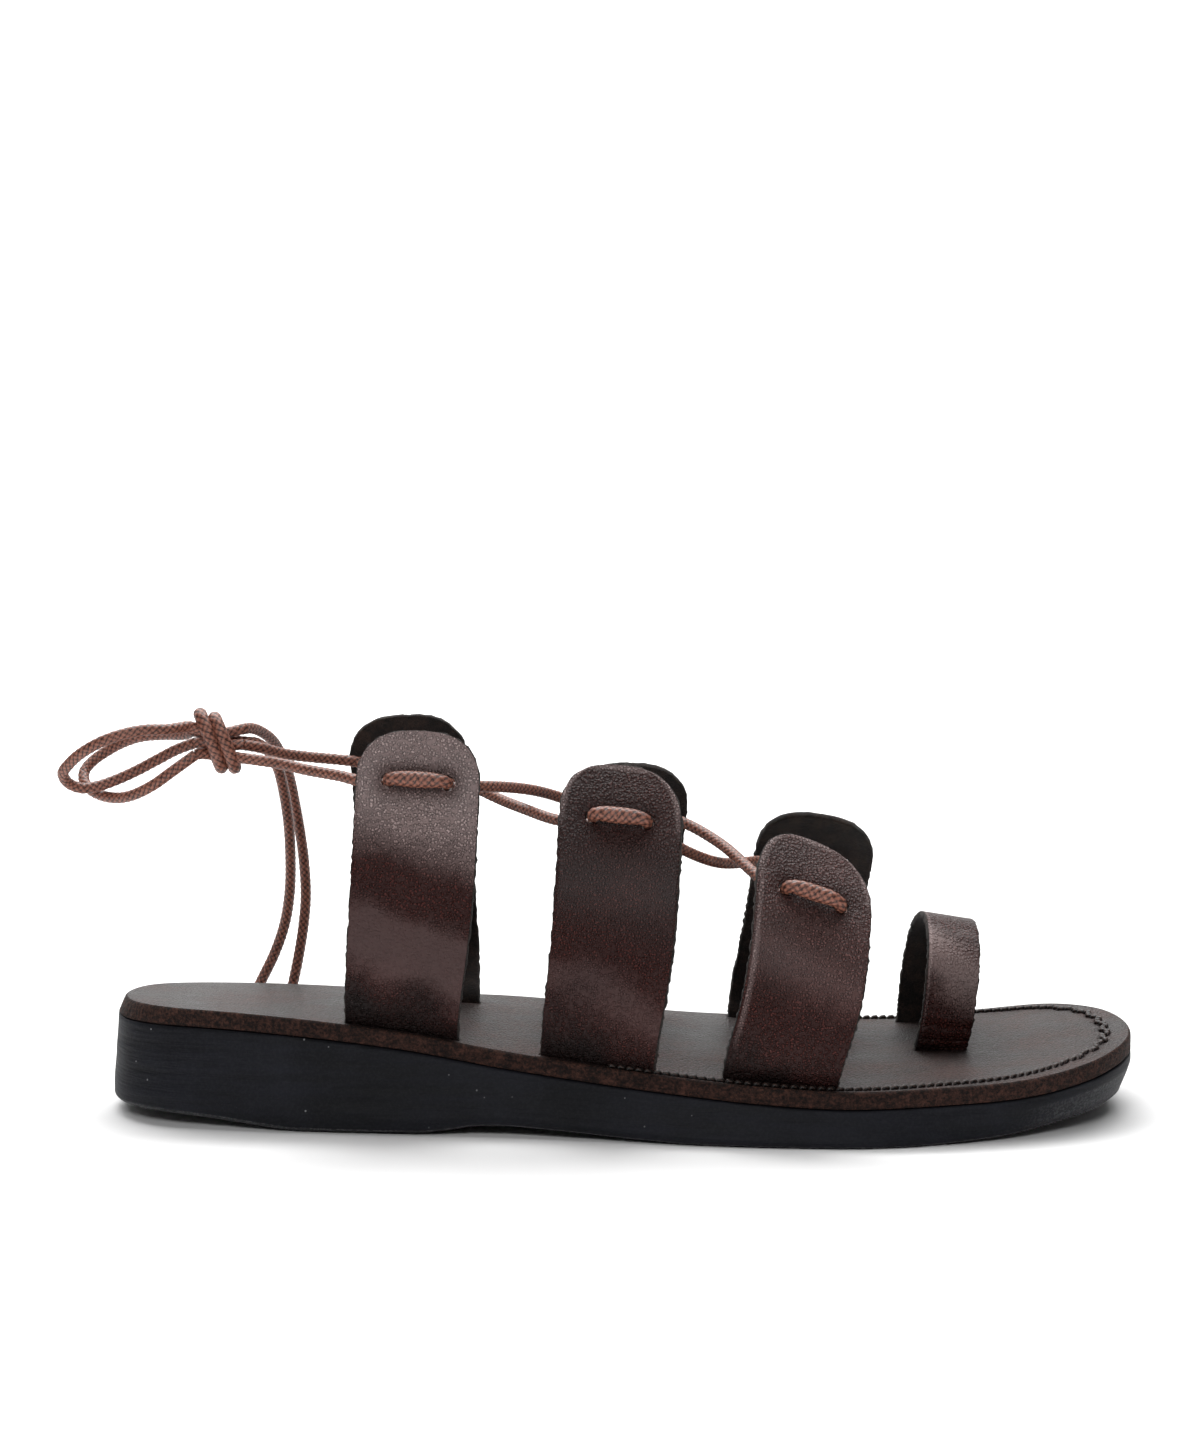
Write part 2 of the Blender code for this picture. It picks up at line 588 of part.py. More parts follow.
def eyelet(strap, way):
    """Centre of an eyelet and the direction through it. way is -1 rear, 1 front."""
    up = 1 - EYELET_DROP / strap_rise(strap)
    half = (STRAP_WIDTH + strap.widen * STRAP_WIDEN) / 2
    sideways = way * strap.spread * EYELET_SPREAD / 2 / half
    centre = strap_surface(strap, sideways, up)
    above = strap_surface(strap, sideways, up + 0.02)
    beside = strap_surface(strap, sideways + 0.05, up)
    across = (beside - centre).cross(above - centre).normalized()
    if across.y * strap.side < 0:
        across.negate()
    return centre, across


def add_drill(name, centre, direction):
    """A round cutter through a tab."""
    length = STRAP_THICKNESS * 4
    turn = direction.to_track_quat("Z", "Y").to_matrix().to_4x4()
    points = []
    for end in (-0.5, 0.5):
        for k in range(ROUND_SIDES):
            angle = 2 * math.pi * k / ROUND_SIDES
            spot = Vector((EYELET_RADIUS * math.cos(angle), EYELET_RADIUS * math.sin(angle), end * length))
            points.append(Matrix.Translation(centre) @ turn @ spot)
    return as_cutter(add_mesh(name, points, barrel_faces(2)))


def barrel_faces(rings):
    """Faces of a closed barrel of several rings with ROUND_SIDES points each."""
    faces = []
    for row in range(rings - 1):
        for k in range(ROUND_SIDES):
            n = (k + 1) % ROUND_SIDES
            a, b = row * ROUND_SIDES, (row + 1) * ROUND_SIDES
            faces.append([a + k, a + n, b + n, b + k])
    faces.append(list(range(ROUND_SIDES))[::-1])
    faces.append([(rings - 1) * ROUND_SIDES + k for k in range(ROUND_SIDES)])
    return faces


def add_slot(name, rear, front):
    """A cutter for a strap's slot, between two points of its foot line."""
    rear, front = Vector(rear), Vector(front)
    ahead = (front - rear).normalized()
    aside = Vector((-ahead.y, ahead.x, 0))
    length = (front - rear).length / 2 + SLOT_CLEARANCE
    width = STRAP_THICKNESS / 2 + SLOT_CLEARANCE
    middle = (rear + front) / 2
    points = []
    for z in (-INSOLE_THICKNESS, HEEL_HEIGHT * 2):
        for a, b in ((-1, -1), (1, -1), (1, 1), (-1, 1)):
            spot = middle + ahead * a * length + aside * b * width
            points.append((spot.x, spot.y, z))
    faces = [[3, 2, 1, 0], [4, 5, 6, 7], [0, 1, 5, 4], [1, 2, 6, 5], [2, 3, 7, 6], [3, 0, 4, 7]]
    return as_cutter(add_mesh(name, points, faces))


def loop_surface(sideways, place):
    """A point of the toe loop. place counts the rows of its table."""
    across, up, lean = (float(smooth(LOOP_ROWS, name, place, key="row")) for name in ("across", "up", "lean"))
    x = at_along(LOOP_ALONG) + sideways * TOE_STRAP_WIDTH / 2
    y = LOOP_NEAR + across * LOOP_SPAN
    foot = float(leather_height(x, y))
    return Vector((x + lean * LOOP_LEAN, y, foot + up * (LOOP_RISE - sideways * LOOP_TILT)))


def add_toe_loop():
    """The narrow strap that arches from its near slot to its far slot."""
    places = [i / 2 for i in range(2 * (len(LOOP_ROWS) - 1) + 1)]
    points, faces = [], []
    sink = Vector((0, 0, FOOT_DEPTH))
    for n in range(-1, len(places) + 1):
        place = places[min(max(n, 0), len(places) - 1)]
        for k in range(LOOP_COLUMNS + 1):
            spot = loop_surface(2 * k / LOOP_COLUMNS - 1, place)
            points.append(spot - sink if n in (-1, len(places)) else spot)
    width = LOOP_COLUMNS + 1
    for row in range(len(places) + 1):
        for k in range(LOOP_COLUMNS):
            a = row * width + k
            faces.append([a, a + 1, a + width + 1, a + width])
    thing = add_mesh("toe_loop", points, faces, "strap_leather")
    thicken(thing)
    return thing


def add_cord(name, places):
    """A tube on a smooth curve through places in millimetres, with even steps."""
    fine = smooth_path(millimetres(places), 24)
    lengths = np.r_[0, np.cumsum(np.linalg.norm(np.diff(fine, axis=0), axis=1))]
    count = max(3, int(round(lengths[-1] / LACE_STEP)) + 1)
    stops = np.linspace(0, lengths[-1], count)
    path = np.stack([np.interp(stops, lengths, fine[:, k]) for k in range(3)], axis=1)
    return add_tube(name, path, LACE_DIAMETER)


def add_tube(name, path, diameter):
    """A round cord along a path of points."""
    curve = bpy.data.curves.new(name, "CURVE")
    curve.dimensions = "3D"
    spline = curve.splines.new("POLY")
    spline.points.add(len(path) - 1)
    for point, spot in zip(spline.points, path):
        point.co = (*spot, 1.0)
    curve.bevel_depth = diameter / 2
    curve.bevel_resolution = 2
    curve.use_fill_caps = True
    curve.materials.append(material("lace_cord"))
    thing = bpy.data.objects.new(name, curve)
    bpy.context.scene.collection.objects.link(thing)
    return thing


def millimetres(places):
    """Places given in millimetres, as points in metres."""
    return [Vector(place) / 1000 for place in places]


def through_tab(strap, first):
    """Points of the lace through a tab: in at one eyelet, outside, out at the other."""
    near, near_way = eyelet(strap, first)
    far, far_way = eyelet(strap, -first)
    ahead = (far - near).normalized()
    middle = (near + far) / 2 + (near_way + far_way) / 2 * LACE_STANDOFF * 1.04
    corner = LACE_DIAMETER * 0.20
    turn = LACE_DIAMETER * 0.80
    return [
        near - near_way * LACE_DIAMETER * 1.35,
        near,
        near + near_way * LACE_DIAMETER * 0.65 + ahead * corner,
        near + near_way * LACE_STANDOFF + ahead * turn,
        middle,
        far + far_way * LACE_STANDOFF - ahead * turn,
        far + far_way * LACE_DIAMETER * 0.65 - ahead * corner,
        far,
        far - far_way * LACE_DIAMETER * 1.35,
    ]


def lace_route():
    """The lace from the knot, through all twelve eyelets, and back to the knot."""
    outer_1, inner_1, outer_2, inner_2, outer_3, inner_3 = STRAPS
    rear, front = -1, 1
    route = millimetres(KNOT_FROM_INNER)[::-1]
    route += through_tab(inner_1, rear)
    route += millimetres(REAR_CROSSING_LOW)
    route += through_tab(outer_2, rear)
    route += millimetres(FRONT_CROSSING_LOW)
    route += through_tab(inner_3, rear)
    route += millimetres(FRONT_BRIDGE)[::-1]
    route += through_tab(outer_3, front)
    route += millimetres(FRONT_CROSSING_HIGH)
    route += through_tab(inner_2, front)
    route += millimetres(REAR_CROSSING_HIGH)
    route += through_tab(outer_1, front)
    return route + millimetres(KNOT_FROM_OUTER)


def add_lace():
    """The lace through the eyelets, clear of the leather and of itself."""
    route = [np.array(p) for p in lace_route()]
    fine = smooth_path(route, 8)
    path = [fine[0]]
    for i in range(len(route) - 1):
        span = fine[8 * i:8 * i + 9]
        length = np.linalg.norm(np.diff(span, axis=0), axis=1).sum()
        steps = max(1, round(length / LACE_STEP))
        path.extend(span[round(8 * k / steps)] for k in range(1, steps + 1))
    return add_tube("lace", path, LACE_DIAMETER)


def add_knot():
    """The bow's knot, a slanted barrel with two wraps."""
    slant = math.radians(KNOT_SLANT)
    axis = Vector((math.cos(slant), 0, math.sin(slant)))
    upward = Vector((-math.sin(slant), 0, math.cos(slant)))
    middle = Vector(KNOT_MIDDLE)
    points = []
    for row in KNOT_ROWS:
        for k in range(ROUND_SIDES):
            angle = 2 * math.pi * k / ROUND_SIDES
            points.append(middle + axis * row.along * KNOT_HALF_LENGTH
                          + Vector((0, 1, 0)) * math.cos(angle) * row.size * KNOT_HALF_DEPTH
                          + upward * math.sin(angle) * row.size * KNOT_HALF_HEIGHT)
    return add_mesh("lace_knot", points, barrel_faces(len(KNOT_ROWS)), "lace_cord")


def clear_scene():
    """Remove every object of the scene."""
    for thing in list(bpy.data.objects):
        bpy.data.objects.remove(thing, do_unlink=True)


def main():
    clear_scene()
    outline = sole_outline()
    insole = add_insole(outline)
    add_outsole(outline)
    for strap in STRAPS:
        add_strap(strap)
        ends = [strap_surface(strap, way, 0.0) for way in (-1, 1)]
        cut(insole, add_slot(strap.name + "_slot", *[(p.x, p.y, 0) for p in ends]))
    add_toe_loop()
    for number, place in enumerate((0, len(LOOP_ROWS) - 1)):
        ends = [loop_surface(way, place) for way in (-1, 1)]
        cut(insole, add_slot(f"toe_loop_slot_{number}", *[(p.x, p.y, 0) for p in ends]))
    add_lace()
    add_knot()
    add_cord("lace_loop_1", LOOP_1_ROUTE)
    add_cord("lace_loop_2", LOOP_2_ROUTE)
    add_cord("lace_end_1", END_1_ROUTE)
    add_cord("lace_end_2", END_2_ROUTE)


main()
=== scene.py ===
"""Looks of a right leather sandal with three laced instep straps and a toe loop.

Metres, +X towards the toe, +Y towards the inner side of the foot, +Z up. The
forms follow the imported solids: the same tables, sizes and places, on finer
grids, with edges, stitches, eyelets, braid and grain.
"""

from __future__ import annotations

import logging
import math
from collections.abc import Callable
from dataclasses import dataclass, replace
from enum import Enum

import bpy
import numpy as np
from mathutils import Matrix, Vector


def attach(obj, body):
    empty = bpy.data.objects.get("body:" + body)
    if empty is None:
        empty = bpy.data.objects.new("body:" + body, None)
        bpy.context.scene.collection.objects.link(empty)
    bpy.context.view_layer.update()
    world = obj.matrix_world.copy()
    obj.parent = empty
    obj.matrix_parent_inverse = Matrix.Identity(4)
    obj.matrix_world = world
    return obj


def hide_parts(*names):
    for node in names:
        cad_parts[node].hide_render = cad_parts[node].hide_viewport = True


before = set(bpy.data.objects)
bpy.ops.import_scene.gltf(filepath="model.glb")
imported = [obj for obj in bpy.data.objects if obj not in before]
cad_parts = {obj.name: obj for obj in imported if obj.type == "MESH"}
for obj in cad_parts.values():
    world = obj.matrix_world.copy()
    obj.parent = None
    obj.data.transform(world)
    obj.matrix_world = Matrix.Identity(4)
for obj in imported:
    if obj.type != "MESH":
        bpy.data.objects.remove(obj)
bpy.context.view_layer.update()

LOG = logging.getLogger("sandal")
MM = 0.001
BODY = "root"
TURN = 2 * math.pi
PATH_STEPS = 26
LACE_DIAMETER = 3.1 * MM
Array = np.ndarray


class Side(Enum):
    """A side of the sandal, with the sign of its Y."""

    OUTER = -1
    INNER = 1


class Way(Enum):
    """An end of a tab's pair of eyelets, with the sign of its X."""

    REAR = -1
    FRONT = 1


class Table:
    """Rows of numbers with named columns, read on smooth curves through the rows."""

    def __init__(self, columns: str, rows: list[tuple[float, ...]]) -> None:
        """Keep the rows as one array.

        Args:
            columns: the columns' names, the first being the key.
            rows: one tuple of numbers for each row.
        """
        self.names = columns.split()
        self.rows = np.array(rows, dtype=float)

    def at(self, name: str, place: Array | float) -> Array:
        """Read a column between its rows with a cubic curve of matching slopes.

        Args:
            name: the column to read.
            place: values of the key column.

        Returns:
            The column's values at those places.
        """
        keys = self.rows[:, 0]
        values = self.rows[:, self.names.index(name)]
        slopes = np.gradient(values, keys)
        spot = np.clip(np.asarray(place, dtype=float), keys[0], keys[-1])
        left = np.clip(np.searchsorted(keys, spot, side="right") - 1, 0, len(keys) - 2)
        width = keys[left + 1] - keys[left]
        t = (spot - keys[left]) / width
        start = (2 * t**3 - 3 * t**2 + 1) * values[left] + (t**3 - 2 * t**2 + t) * width * slopes[left]
        end = (3 * t**2 - 2 * t**3) * values[left + 1] + (t**3 - t**2) * width * slopes[left + 1]
        return start + end


OUTLINE = Table("along lateral medial", [
    (0.000, -0.02, -0.02), (0.015, -0.31, 0.29), (0.054, -0.49, 0.47), (0.119, -0.58, 0.565),
    (0.200, -0.63, 0.625), (0.291, -0.65, 0.635), (0.372, -0.69, 0.64), (0.463, -0.79, 0.70),
    (0.555, -0.90, 0.815), (0.646, -0.975, 0.92), (0.732, -0.99, 0.985), (0.823, -0.925, 1.0),
    (0.899, -0.785, 0.925), (0.954, -0.575, 0.77), (0.988, -0.285, 0.515), (1.000, 0.10, 0.10),
])
HEIGHT = Table("along heel toe bank", [
    (0.00, 1.08, 0.00, 0.7), (0.058, 1.03, 0.00, 1.0), (0.119, 0.98, 0.00, 1.0),
    (0.210, 0.86, 0.00, 0.75), (0.291, 0.71, 0.00, 0.3), (0.372, 0.56, 0.00, -0.7),
    (0.453, 0.40, 0.00, -0.75), (0.534, 0.22, 0.00, -0.35), (0.615, 0.085, 0.00, -0.2),
    (0.696, 0.0, 0.00, -0.1), (0.798, 0.0, 0.04, 0.1), (0.879, 0.0, 0.28, -0.3),
    (0.949, 0.0, 0.68, -0.5), (1.00, 0.0, 1.00, -0.2),
])
UNDERSIDE = Table("along roll arch lift flare bevel", [
    (0.00, 1.00, 0.0, 0.00, 0.45, 0.0), (0.048, 0.86, 0.0, 0.00, 0.75, 0.0),
    (0.109, 0.52, 0.0, 0.00, 0.95, 0.0), (0.180, 0.00, 0.0, 0.00, 1.25, 0.0),
    (0.300, 0.00, 0.0, 0.00, 1.80, 0.0), (0.330, 0.00, 0.45, 0.00, 1.75, 0.0),
    (0.350, 0.00, 0.85, 0.00, 1.65, 0.0), (0.372, 0.00, 1, 0.00, 1.60, 0.0),
    (0.440, 0.00, 0.75, 0.00, 1.50, 0.0), (0.500, 0.00, 0.3, 0.00, 1.40, 0.0),
    (0.560, 0.00, 0.0, 0.00, 1.35, 0.0), (0.630, 0.00, 0.0, 0.00, 1.20, 0.0),
    (0.747, 0.00, 0.0, 0.00, 0.85, 0.0), (0.798, 0.00, 0.0, 0.04, 0.55, 0.2),
    (0.858, 0.00, 0.0, 0.15, 0.50, 0.6), (0.919, 0.00, 0.0, 0.38, 0.40, 1.0),
    (1.00, 0.00, 0.0, 0.72, 0.30, 1.0),
])
WALL = Table("down flare bevel", [
    (0.00, 0.00, 0.00), (0.26, 0.30, 0.00), (0.34, 0.40, 0.10), (0.62, 0.75, 0.48),
    (0.88, 1.00, 0.90), (0.97, 0.80, 1.06), (1.00, 0.35, 1.20),
])
STRAP = Table("up bulge reach lean widen", [
    (0.00, 0.00, 0.00, 0.00, 0.00), (0.02, 0.05, 0.00, 0.00, 0.00),
    (0.07, 0.40, 0.00, 0.05, 0.06), (0.15, 0.78, 0.02, 0.16, 0.25),
    (0.30, 1.00, 0.06, 0.42, 0.60), (0.50, 0.95, 0.20, 0.68, 0.90),
    (0.70, 0.62, 0.42, 0.84, 1.00), (0.85, 0.33, 0.68, 0.94, 1.00),
    (1.00, 0.00, 1.00, 1.00, 0.90),
])
LOOP = Table("row across up lean", [
    (0, 0.000, 0.00, 0.00), (1, -0.003, 0.04, 0.03), (2, -0.040, 0.14, 0.16),
    (3, -0.055, 0.34, 0.42), (4, -0.030, 0.56, 0.66), (5, 0.040, 0.78, 0.86),
    (6, 0.170, 0.93, 0.97), (7, 0.360, 1.00, 1.00), (8, 0.580, 0.985, 0.94),
    (9, 0.790, 0.88, 0.78), (10, 0.940, 0.68, 0.56), (11, 1.010, 0.44, 0.32),
    (12, 1.025, 0.20, 0.12), (13, 1.003, 0.04, 0.03), (14, 1.000, 0.00, 0.00),
])
STITCH_LINE = Table("along outer inner", [
    (0.46, 1.9, 1.9), (0.60, 2.1, 1.9), (0.733, 3.2, 2.1), (0.85, 4.9, 3.6), (0.895, 6.0, 4.6),
    (0.935, 6.8, 5.0), (0.967, 6.8, 5.6), (1.00, 6.4, 6.4),
])
# Soft pads: share along, share across, radius over the ball's width, height.
PADS = [
    (0.767, -0.22, 0.26, 0.9), (0.595, -0.30, 0.22, 0.7), (0.717, 0.42, 0.24, 0.8), (0.929, 0.30, 0.20, 0.6),
]
# Angles of the grid rows that round a strap's tab.
TAB_ANGLES = np.radians(np.linspace(0, 88.3, 17)[1:])

# Places in millimetres that the lace passes, as the solids have them.
FRONT_CROSSING_LOW = [(14.6, -14, 68.5), (24.8, 0, 63), (36.6, 17, 61)]
FRONT_CROSSING_HIGH = [(33.5, -18, 62.2), (25, 0, 68), (15.7, 12, 72)]
FRONT_BRIDGE = [(56.2, -12, 54.6), (58, 12, 56)]
REAR_CROSSING_LOW = [(-35.4, 13.5, 79.4), (-26.1, 0, 77.2), (-16.4, -13, 75.6)]
REAR_CROSSING_HIGH = [(-15.5, 12.5, 78.2), (-24.3, 0, 82), (-35.6, -16, 84.6)]
KNOT_FROM_INNER = [
    (-71.4, 19, 87.4), (-83.2, 12.5, 89.3), (-88.7, 7.6, 90.6), (-93.8, 1.8, 92.7), (-97.8, -0.8, 93.7),
]
KNOT_FROM_OUTER = [
    (-67.4, -17, 86.3), (-71.4, -14.4, 87), (-80.9, -9, 88.1), (-88.5, -5.6, 89.4), (-96.7, -3.8, 90.4),
]
LOOP_1_ROUTE = [
    (-111.8, -2.9, 98.6), (-116.5, -7.5, 98.2), (-121.4, -10, 98.3), (-126.6, -11, 97.4),
    (-131.9, -11, 95.6), (-137.7, -9, 92.4), (-141.6, -6, 89.2), (-143.8, -3, 86.4),
    (-142.9, 0, 83.6), (-140, 1.7, 82.2), (-136.6, 3, 82.4), (-132.1, 4, 83.8),
    (-126.6, 4, 86.2), (-120.9, 3, 89.2), (-115.2, 1.5, 92.2), (-110.2, -0.2, 94.1),
]
LOOP_2_ROUTE = [
    (-111.3, 3, 96.8), (-113.9, 6, 95.7), (-120, 11, 95.2), (-126.5, 14, 94.4),
    (-131.3, 16, 92.8), (-135.4, 17, 90.7), (-139.5, 16.2, 87.9), (-141.4, 14, 85.4),
    (-141, 11, 83), (-138.7, 8, 81), (-135.1, 5, 79.8), (-130.7, 2, 79.6),
    (-126.2, -1, 80.7), (-120.5, -3.5, 83.6), (-116, -4.5, 86.8), (-112.4, -4.2, 89.4),
    (-109.6, -3.4, 91.4),
]
END_1_ROUTE = [
    (-98.1, 2, 97.5), (-96.6, 5.6, 97.4), (-94.8, 11, 96.1), (-92.5, 17.5, 93.2),
    (-90.8, 23.5, 88.6), (-89.4, 29.5, 82), (-88.4, 34, 74), (-87.4, 37, 65.5),
    (-86.7, 39.2, 57), (-86.5, 40.4, 48), (-87.4, 41, 39), (-89, 41.5, 30),
    (-91, 42.2, 21), (-93, 43.6, 12.5), (-94.5, 46.6, 5.8), (-96.3, 52, 2.2),
    (-98.8, 60, 1.7), (-102.8, 68, 1.7), (-108.3, 75, 1.7),
]
END_2_ROUTE = [
    (-97.5, 4.4, 93.9), (-95.4, 7.8, 93.3), (-92.9, 12.4, 90.7), (-91.1, 17.4, 85.9),
    (-90, 22.5, 78.2), (-89.4, 27, 69), (-89.5, 31, 59.5), (-90.2, 34.4, 50.2),
    (-92, 37.4, 41), (-95, 39.8, 32.7), (-98.8, 41.6, 25), (-102.8, 43.4, 17),
    (-106.6, 45.8, 9.6), (-110.4, 49.4, 4), (-115, 53.8, 1.9), (-119.6, 60, 1.7),
    (-121.5, 67.5, 1.7), (-119, 75, 1.7), (-113, 80.5, 1.7),
]


def spans(path: Array) -> Array:
    """Distances from each point of a path to the next."""
    return np.linalg.norm(np.diff(path, axis=0), axis=1)


def ahead_round(ring: Array) -> Array:
    """Unit directions along a ring of points."""
    return unit(np.roll(ring, -1, axis=0) - np.roll(ring, 1, axis=0))


def grid_normals(grid: Array) -> Array:
    """Unit normals of a grid of points."""
    return unit(np.cross(np.gradient(grid, axis=1), np.gradient(grid, axis=0)))


def angles(count: int) -> Array:
    """Even angles round a circle."""
    return np.arange(count) / count * TURN


def smooth_path(points: Array | list, steps: int = PATH_STEPS, closed: bool = False) -> Array:
    """Run a centripetal Catmull-Rom curve through points, all at once.

    Args:
        points: the places it passes.
        steps: new points for each place.
        closed: whether the last place runs on to the first.

    Returns:
        The curve's points, one row each.
    """
    spots = np.array(points, dtype=float)
    if closed:
        run = np.concatenate([spots[-1:], spots, spots[:2]])
    else:
        run = np.concatenate([2 * spots[:1] - spots[1:2], spots, 2 * spots[-1:] - spots[-2:-1]])
    gap = np.sqrt(np.maximum(spans(run), 1e-9))
    count = len(run) - 3
    p = [run[k:k + count, None, :] for k in range(4)]
    g = [gap[k:k + count, None, None] for k in range(3)]
    t = np.arange(steps)[None, :, None] / steps * g[1]
    a1 = p[0] + (p[1] - p[0]) * (t + g[0]) / g[0]
    a2 = p[1] + (p[2] - p[1]) * t / g[1]
    a3 = p[2] + (p[3] - p[2]) * (t - g[1]) / g[2]
    b1 = a1 + (a2 - a1) * (t + g[0]) / (g[0] + g[1])
    b2 = a2 + (a3 - a2) * t / (g[1] + g[2])
    path = (b1 + (b2 - b1) * t / g[1]).reshape(-1, spots.shape[1])
    return path if closed else np.concatenate([path, spots[-1:]])


def even_path(path: Array, step: float, closed: bool = False) -> Array:
    """Space the points of a path evenly.

    Args:
        path: the points.
        step: the wished distance between two points.
        closed: whether the path is a ring.

    Returns:
        The new points. A ring's first point isn't repeated.
    """
    run = np.concatenate([path, path[:1]]) if closed else path
    places = np.r_[0, np.cumsum(spans(run))]
    count = max(4, int(round(places[-1] / step)) + 1)
    stops = np.linspace(0, places[-1], count)
    fresh = np.stack([np.interp(stops, places, run[:, k]) for k in range(run.shape[1])], axis=1)
    return fresh[:-1] if closed else fresh


def unit(vectors: Array) -> Array:
    """Scale vectors to length one."""
    return vectors / np.maximum(np.linalg.norm(vectors, axis=-1, keepdims=True), 1e-12)


def ripple(points: Array, size: float, seed: int) -> Array:
    """Give each point a smooth random height between -1 and 1, as a sum of waves.

    Args:
        points: places, one row each.
        size: the length of the shortest waves.
        seed: picks the waves' directions and phases.

    Returns:
        One height for each point.
    """
    rng = np.random.default_rng(seed)
    total = np.zeros(points.shape[:-1])
    waves = 14
    for _ in range(waves):
        way = unit(rng.normal(size=points.shape[-1]))
        length = size * rng.uniform(1.0, 2.6)
        total += np.sin(points @ way * (TURN / length) + rng.uniform(0, TURN))
    return total / math.sqrt(waves * 2.0)


def grid_faces(rows: int, columns: int, around: bool = False, first: int = 0) -> Array:
    """List the quads of a grid of points kept row by row.

    Args:
        rows: points along the grid.
        columns: points across it.
        around: whether the last column joins the first.
        first: index of the grid's first point.

    Returns:
        Four point indices for each quad.
    """
    across = columns if around else columns - 1
    r, c = np.meshgrid(np.arange(rows - 1), np.arange(across), indexing="ij")
    here = r * columns + c
    beside = r * columns + (c + 1) % columns
    return np.stack([here, beside, beside + columns, here + columns], axis=-1).reshape(-1, 4) + first


def build_mesh(name: str, points: Array, faces: list[Array], materials: list[bpy.types.Material],
               slots: list[int] | None = None, uv: Array | None = None) -> bpy.types.Object:
    """Make a smooth shaded mesh object from arrays.

    Args:
        name: the piece's name.
        points: one row for each vertex.
        faces: arrays of triangles or quads, each its own group.
        materials: the object's materials.
        slots: the material index of each group of faces.
        uv: a pair of numbers for each vertex, kept as its UV map.

    Returns:
        The new object, linked to the scene.
    """
    corners = np.concatenate([group.ravel() for group in faces]).astype(np.int32)
    sizes = np.concatenate([np.full(len(group), group.shape[1]) for group in faces])
    picks = np.concatenate([np.full(len(group), slots[k] if slots else 0) for k, group in enumerate(faces)])
    mesh = bpy.data.meshes.new(name)
    mesh.vertices.add(len(points))
    mesh.vertices.foreach_set("co", np.asarray(points, dtype=np.float32).ravel())
    mesh.loops.add(len(corners))
    mesh.loops.foreach_set("vertex_index", corners)
    mesh.polygons.add(len(sizes))
    mesh.polygons.foreach_set("loop_start", np.r_[0, np.cumsum(sizes)[:-1]].astype(np.int32))
    mesh.polygons.foreach_set("material_index", picks.astype(np.int32))
    for material in materials:
        mesh.materials.append(material)
    if uv is not None:
        layer = mesh.uv_layers.new(name="UVMap")
        layer.data.foreach_set("uv", np.asarray(uv, dtype=np.float32)[corners].ravel())
    mesh.update(calc_edges=True)
    mesh.validate()
    mesh.shade_smooth()
    thing = bpy.data.objects.new(name, mesh)
    bpy.context.scene.collection.objects.link(thing)
    return thing


def apply_modifiers(thing: bpy.types.Object) -> None:
    """Replace an object's mesh by what its modifiers make of it."""
    graph = bpy.context.evaluated_depsgraph_get()
    fresh = bpy.data.meshes.new_from_object(thing.evaluated_get(graph), depsgraph=graph)
    thing.modifiers.clear()
    thing.data = fresh


def cut_away(thing: bpy.types.Object, cutters: list[bpy.types.Object]) -> None:
    """Take cutters out of an object and delete them."""
    for cutter in cutters:
        modifier = thing.modifiers.new(cutter.name, "BOOLEAN")
        modifier.operation = "DIFFERENCE"
        modifier.solver = "EXACT"
        modifier.object = cutter
    apply_modifiers(thing)
    for cutter in cutters:
        bpy.data.objects.remove(cutter, do_unlink=True)


def settle(thing: bpy.types.Object, slot: str, *nodes: str) -> bpy.types.Object:
    """Let a piece ride on the body and stand for its nodes.

    Args:
        thing: the finished piece.
        slot: not used.
        nodes: the solids that the piece stands for.

    Returns:
        The same piece.
    """
    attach(thing, BODY)
    if nodes:
        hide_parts(*nodes)
    LOG.info("%s: %d faces", thing.name, len(thing.data.polygons) if thing.type == "MESH" else 0)
    return thing


class Socket:
    """A shader value that Python's operators work on, each adding its Math node."""

    def __init__(self, kit: Kit, link: bpy.types.NodeSocket) -> None:
        """Wrap one output of a node."""
        self.kit = kit
        self.link = link

    def __add__(self, other: Socket | float) -> Socket:
        """Add a value or a number."""
        return self.kit.math("ADD", self, other)

    def __sub__(self, other: Socket | float) -> Socket:
        """Subtract."""
        return self.kit.math("SUBTRACT", self, other)

    def __rsub__(self, other: float) -> Socket:
        """Subtract from a number."""
        return self.kit.math("SUBTRACT", other, self)

    def __mul__(self, other: Socket | float) -> Socket:
        """Multiply."""
        return self.kit.math("MULTIPLY", self, other)

    __radd__ = __add__


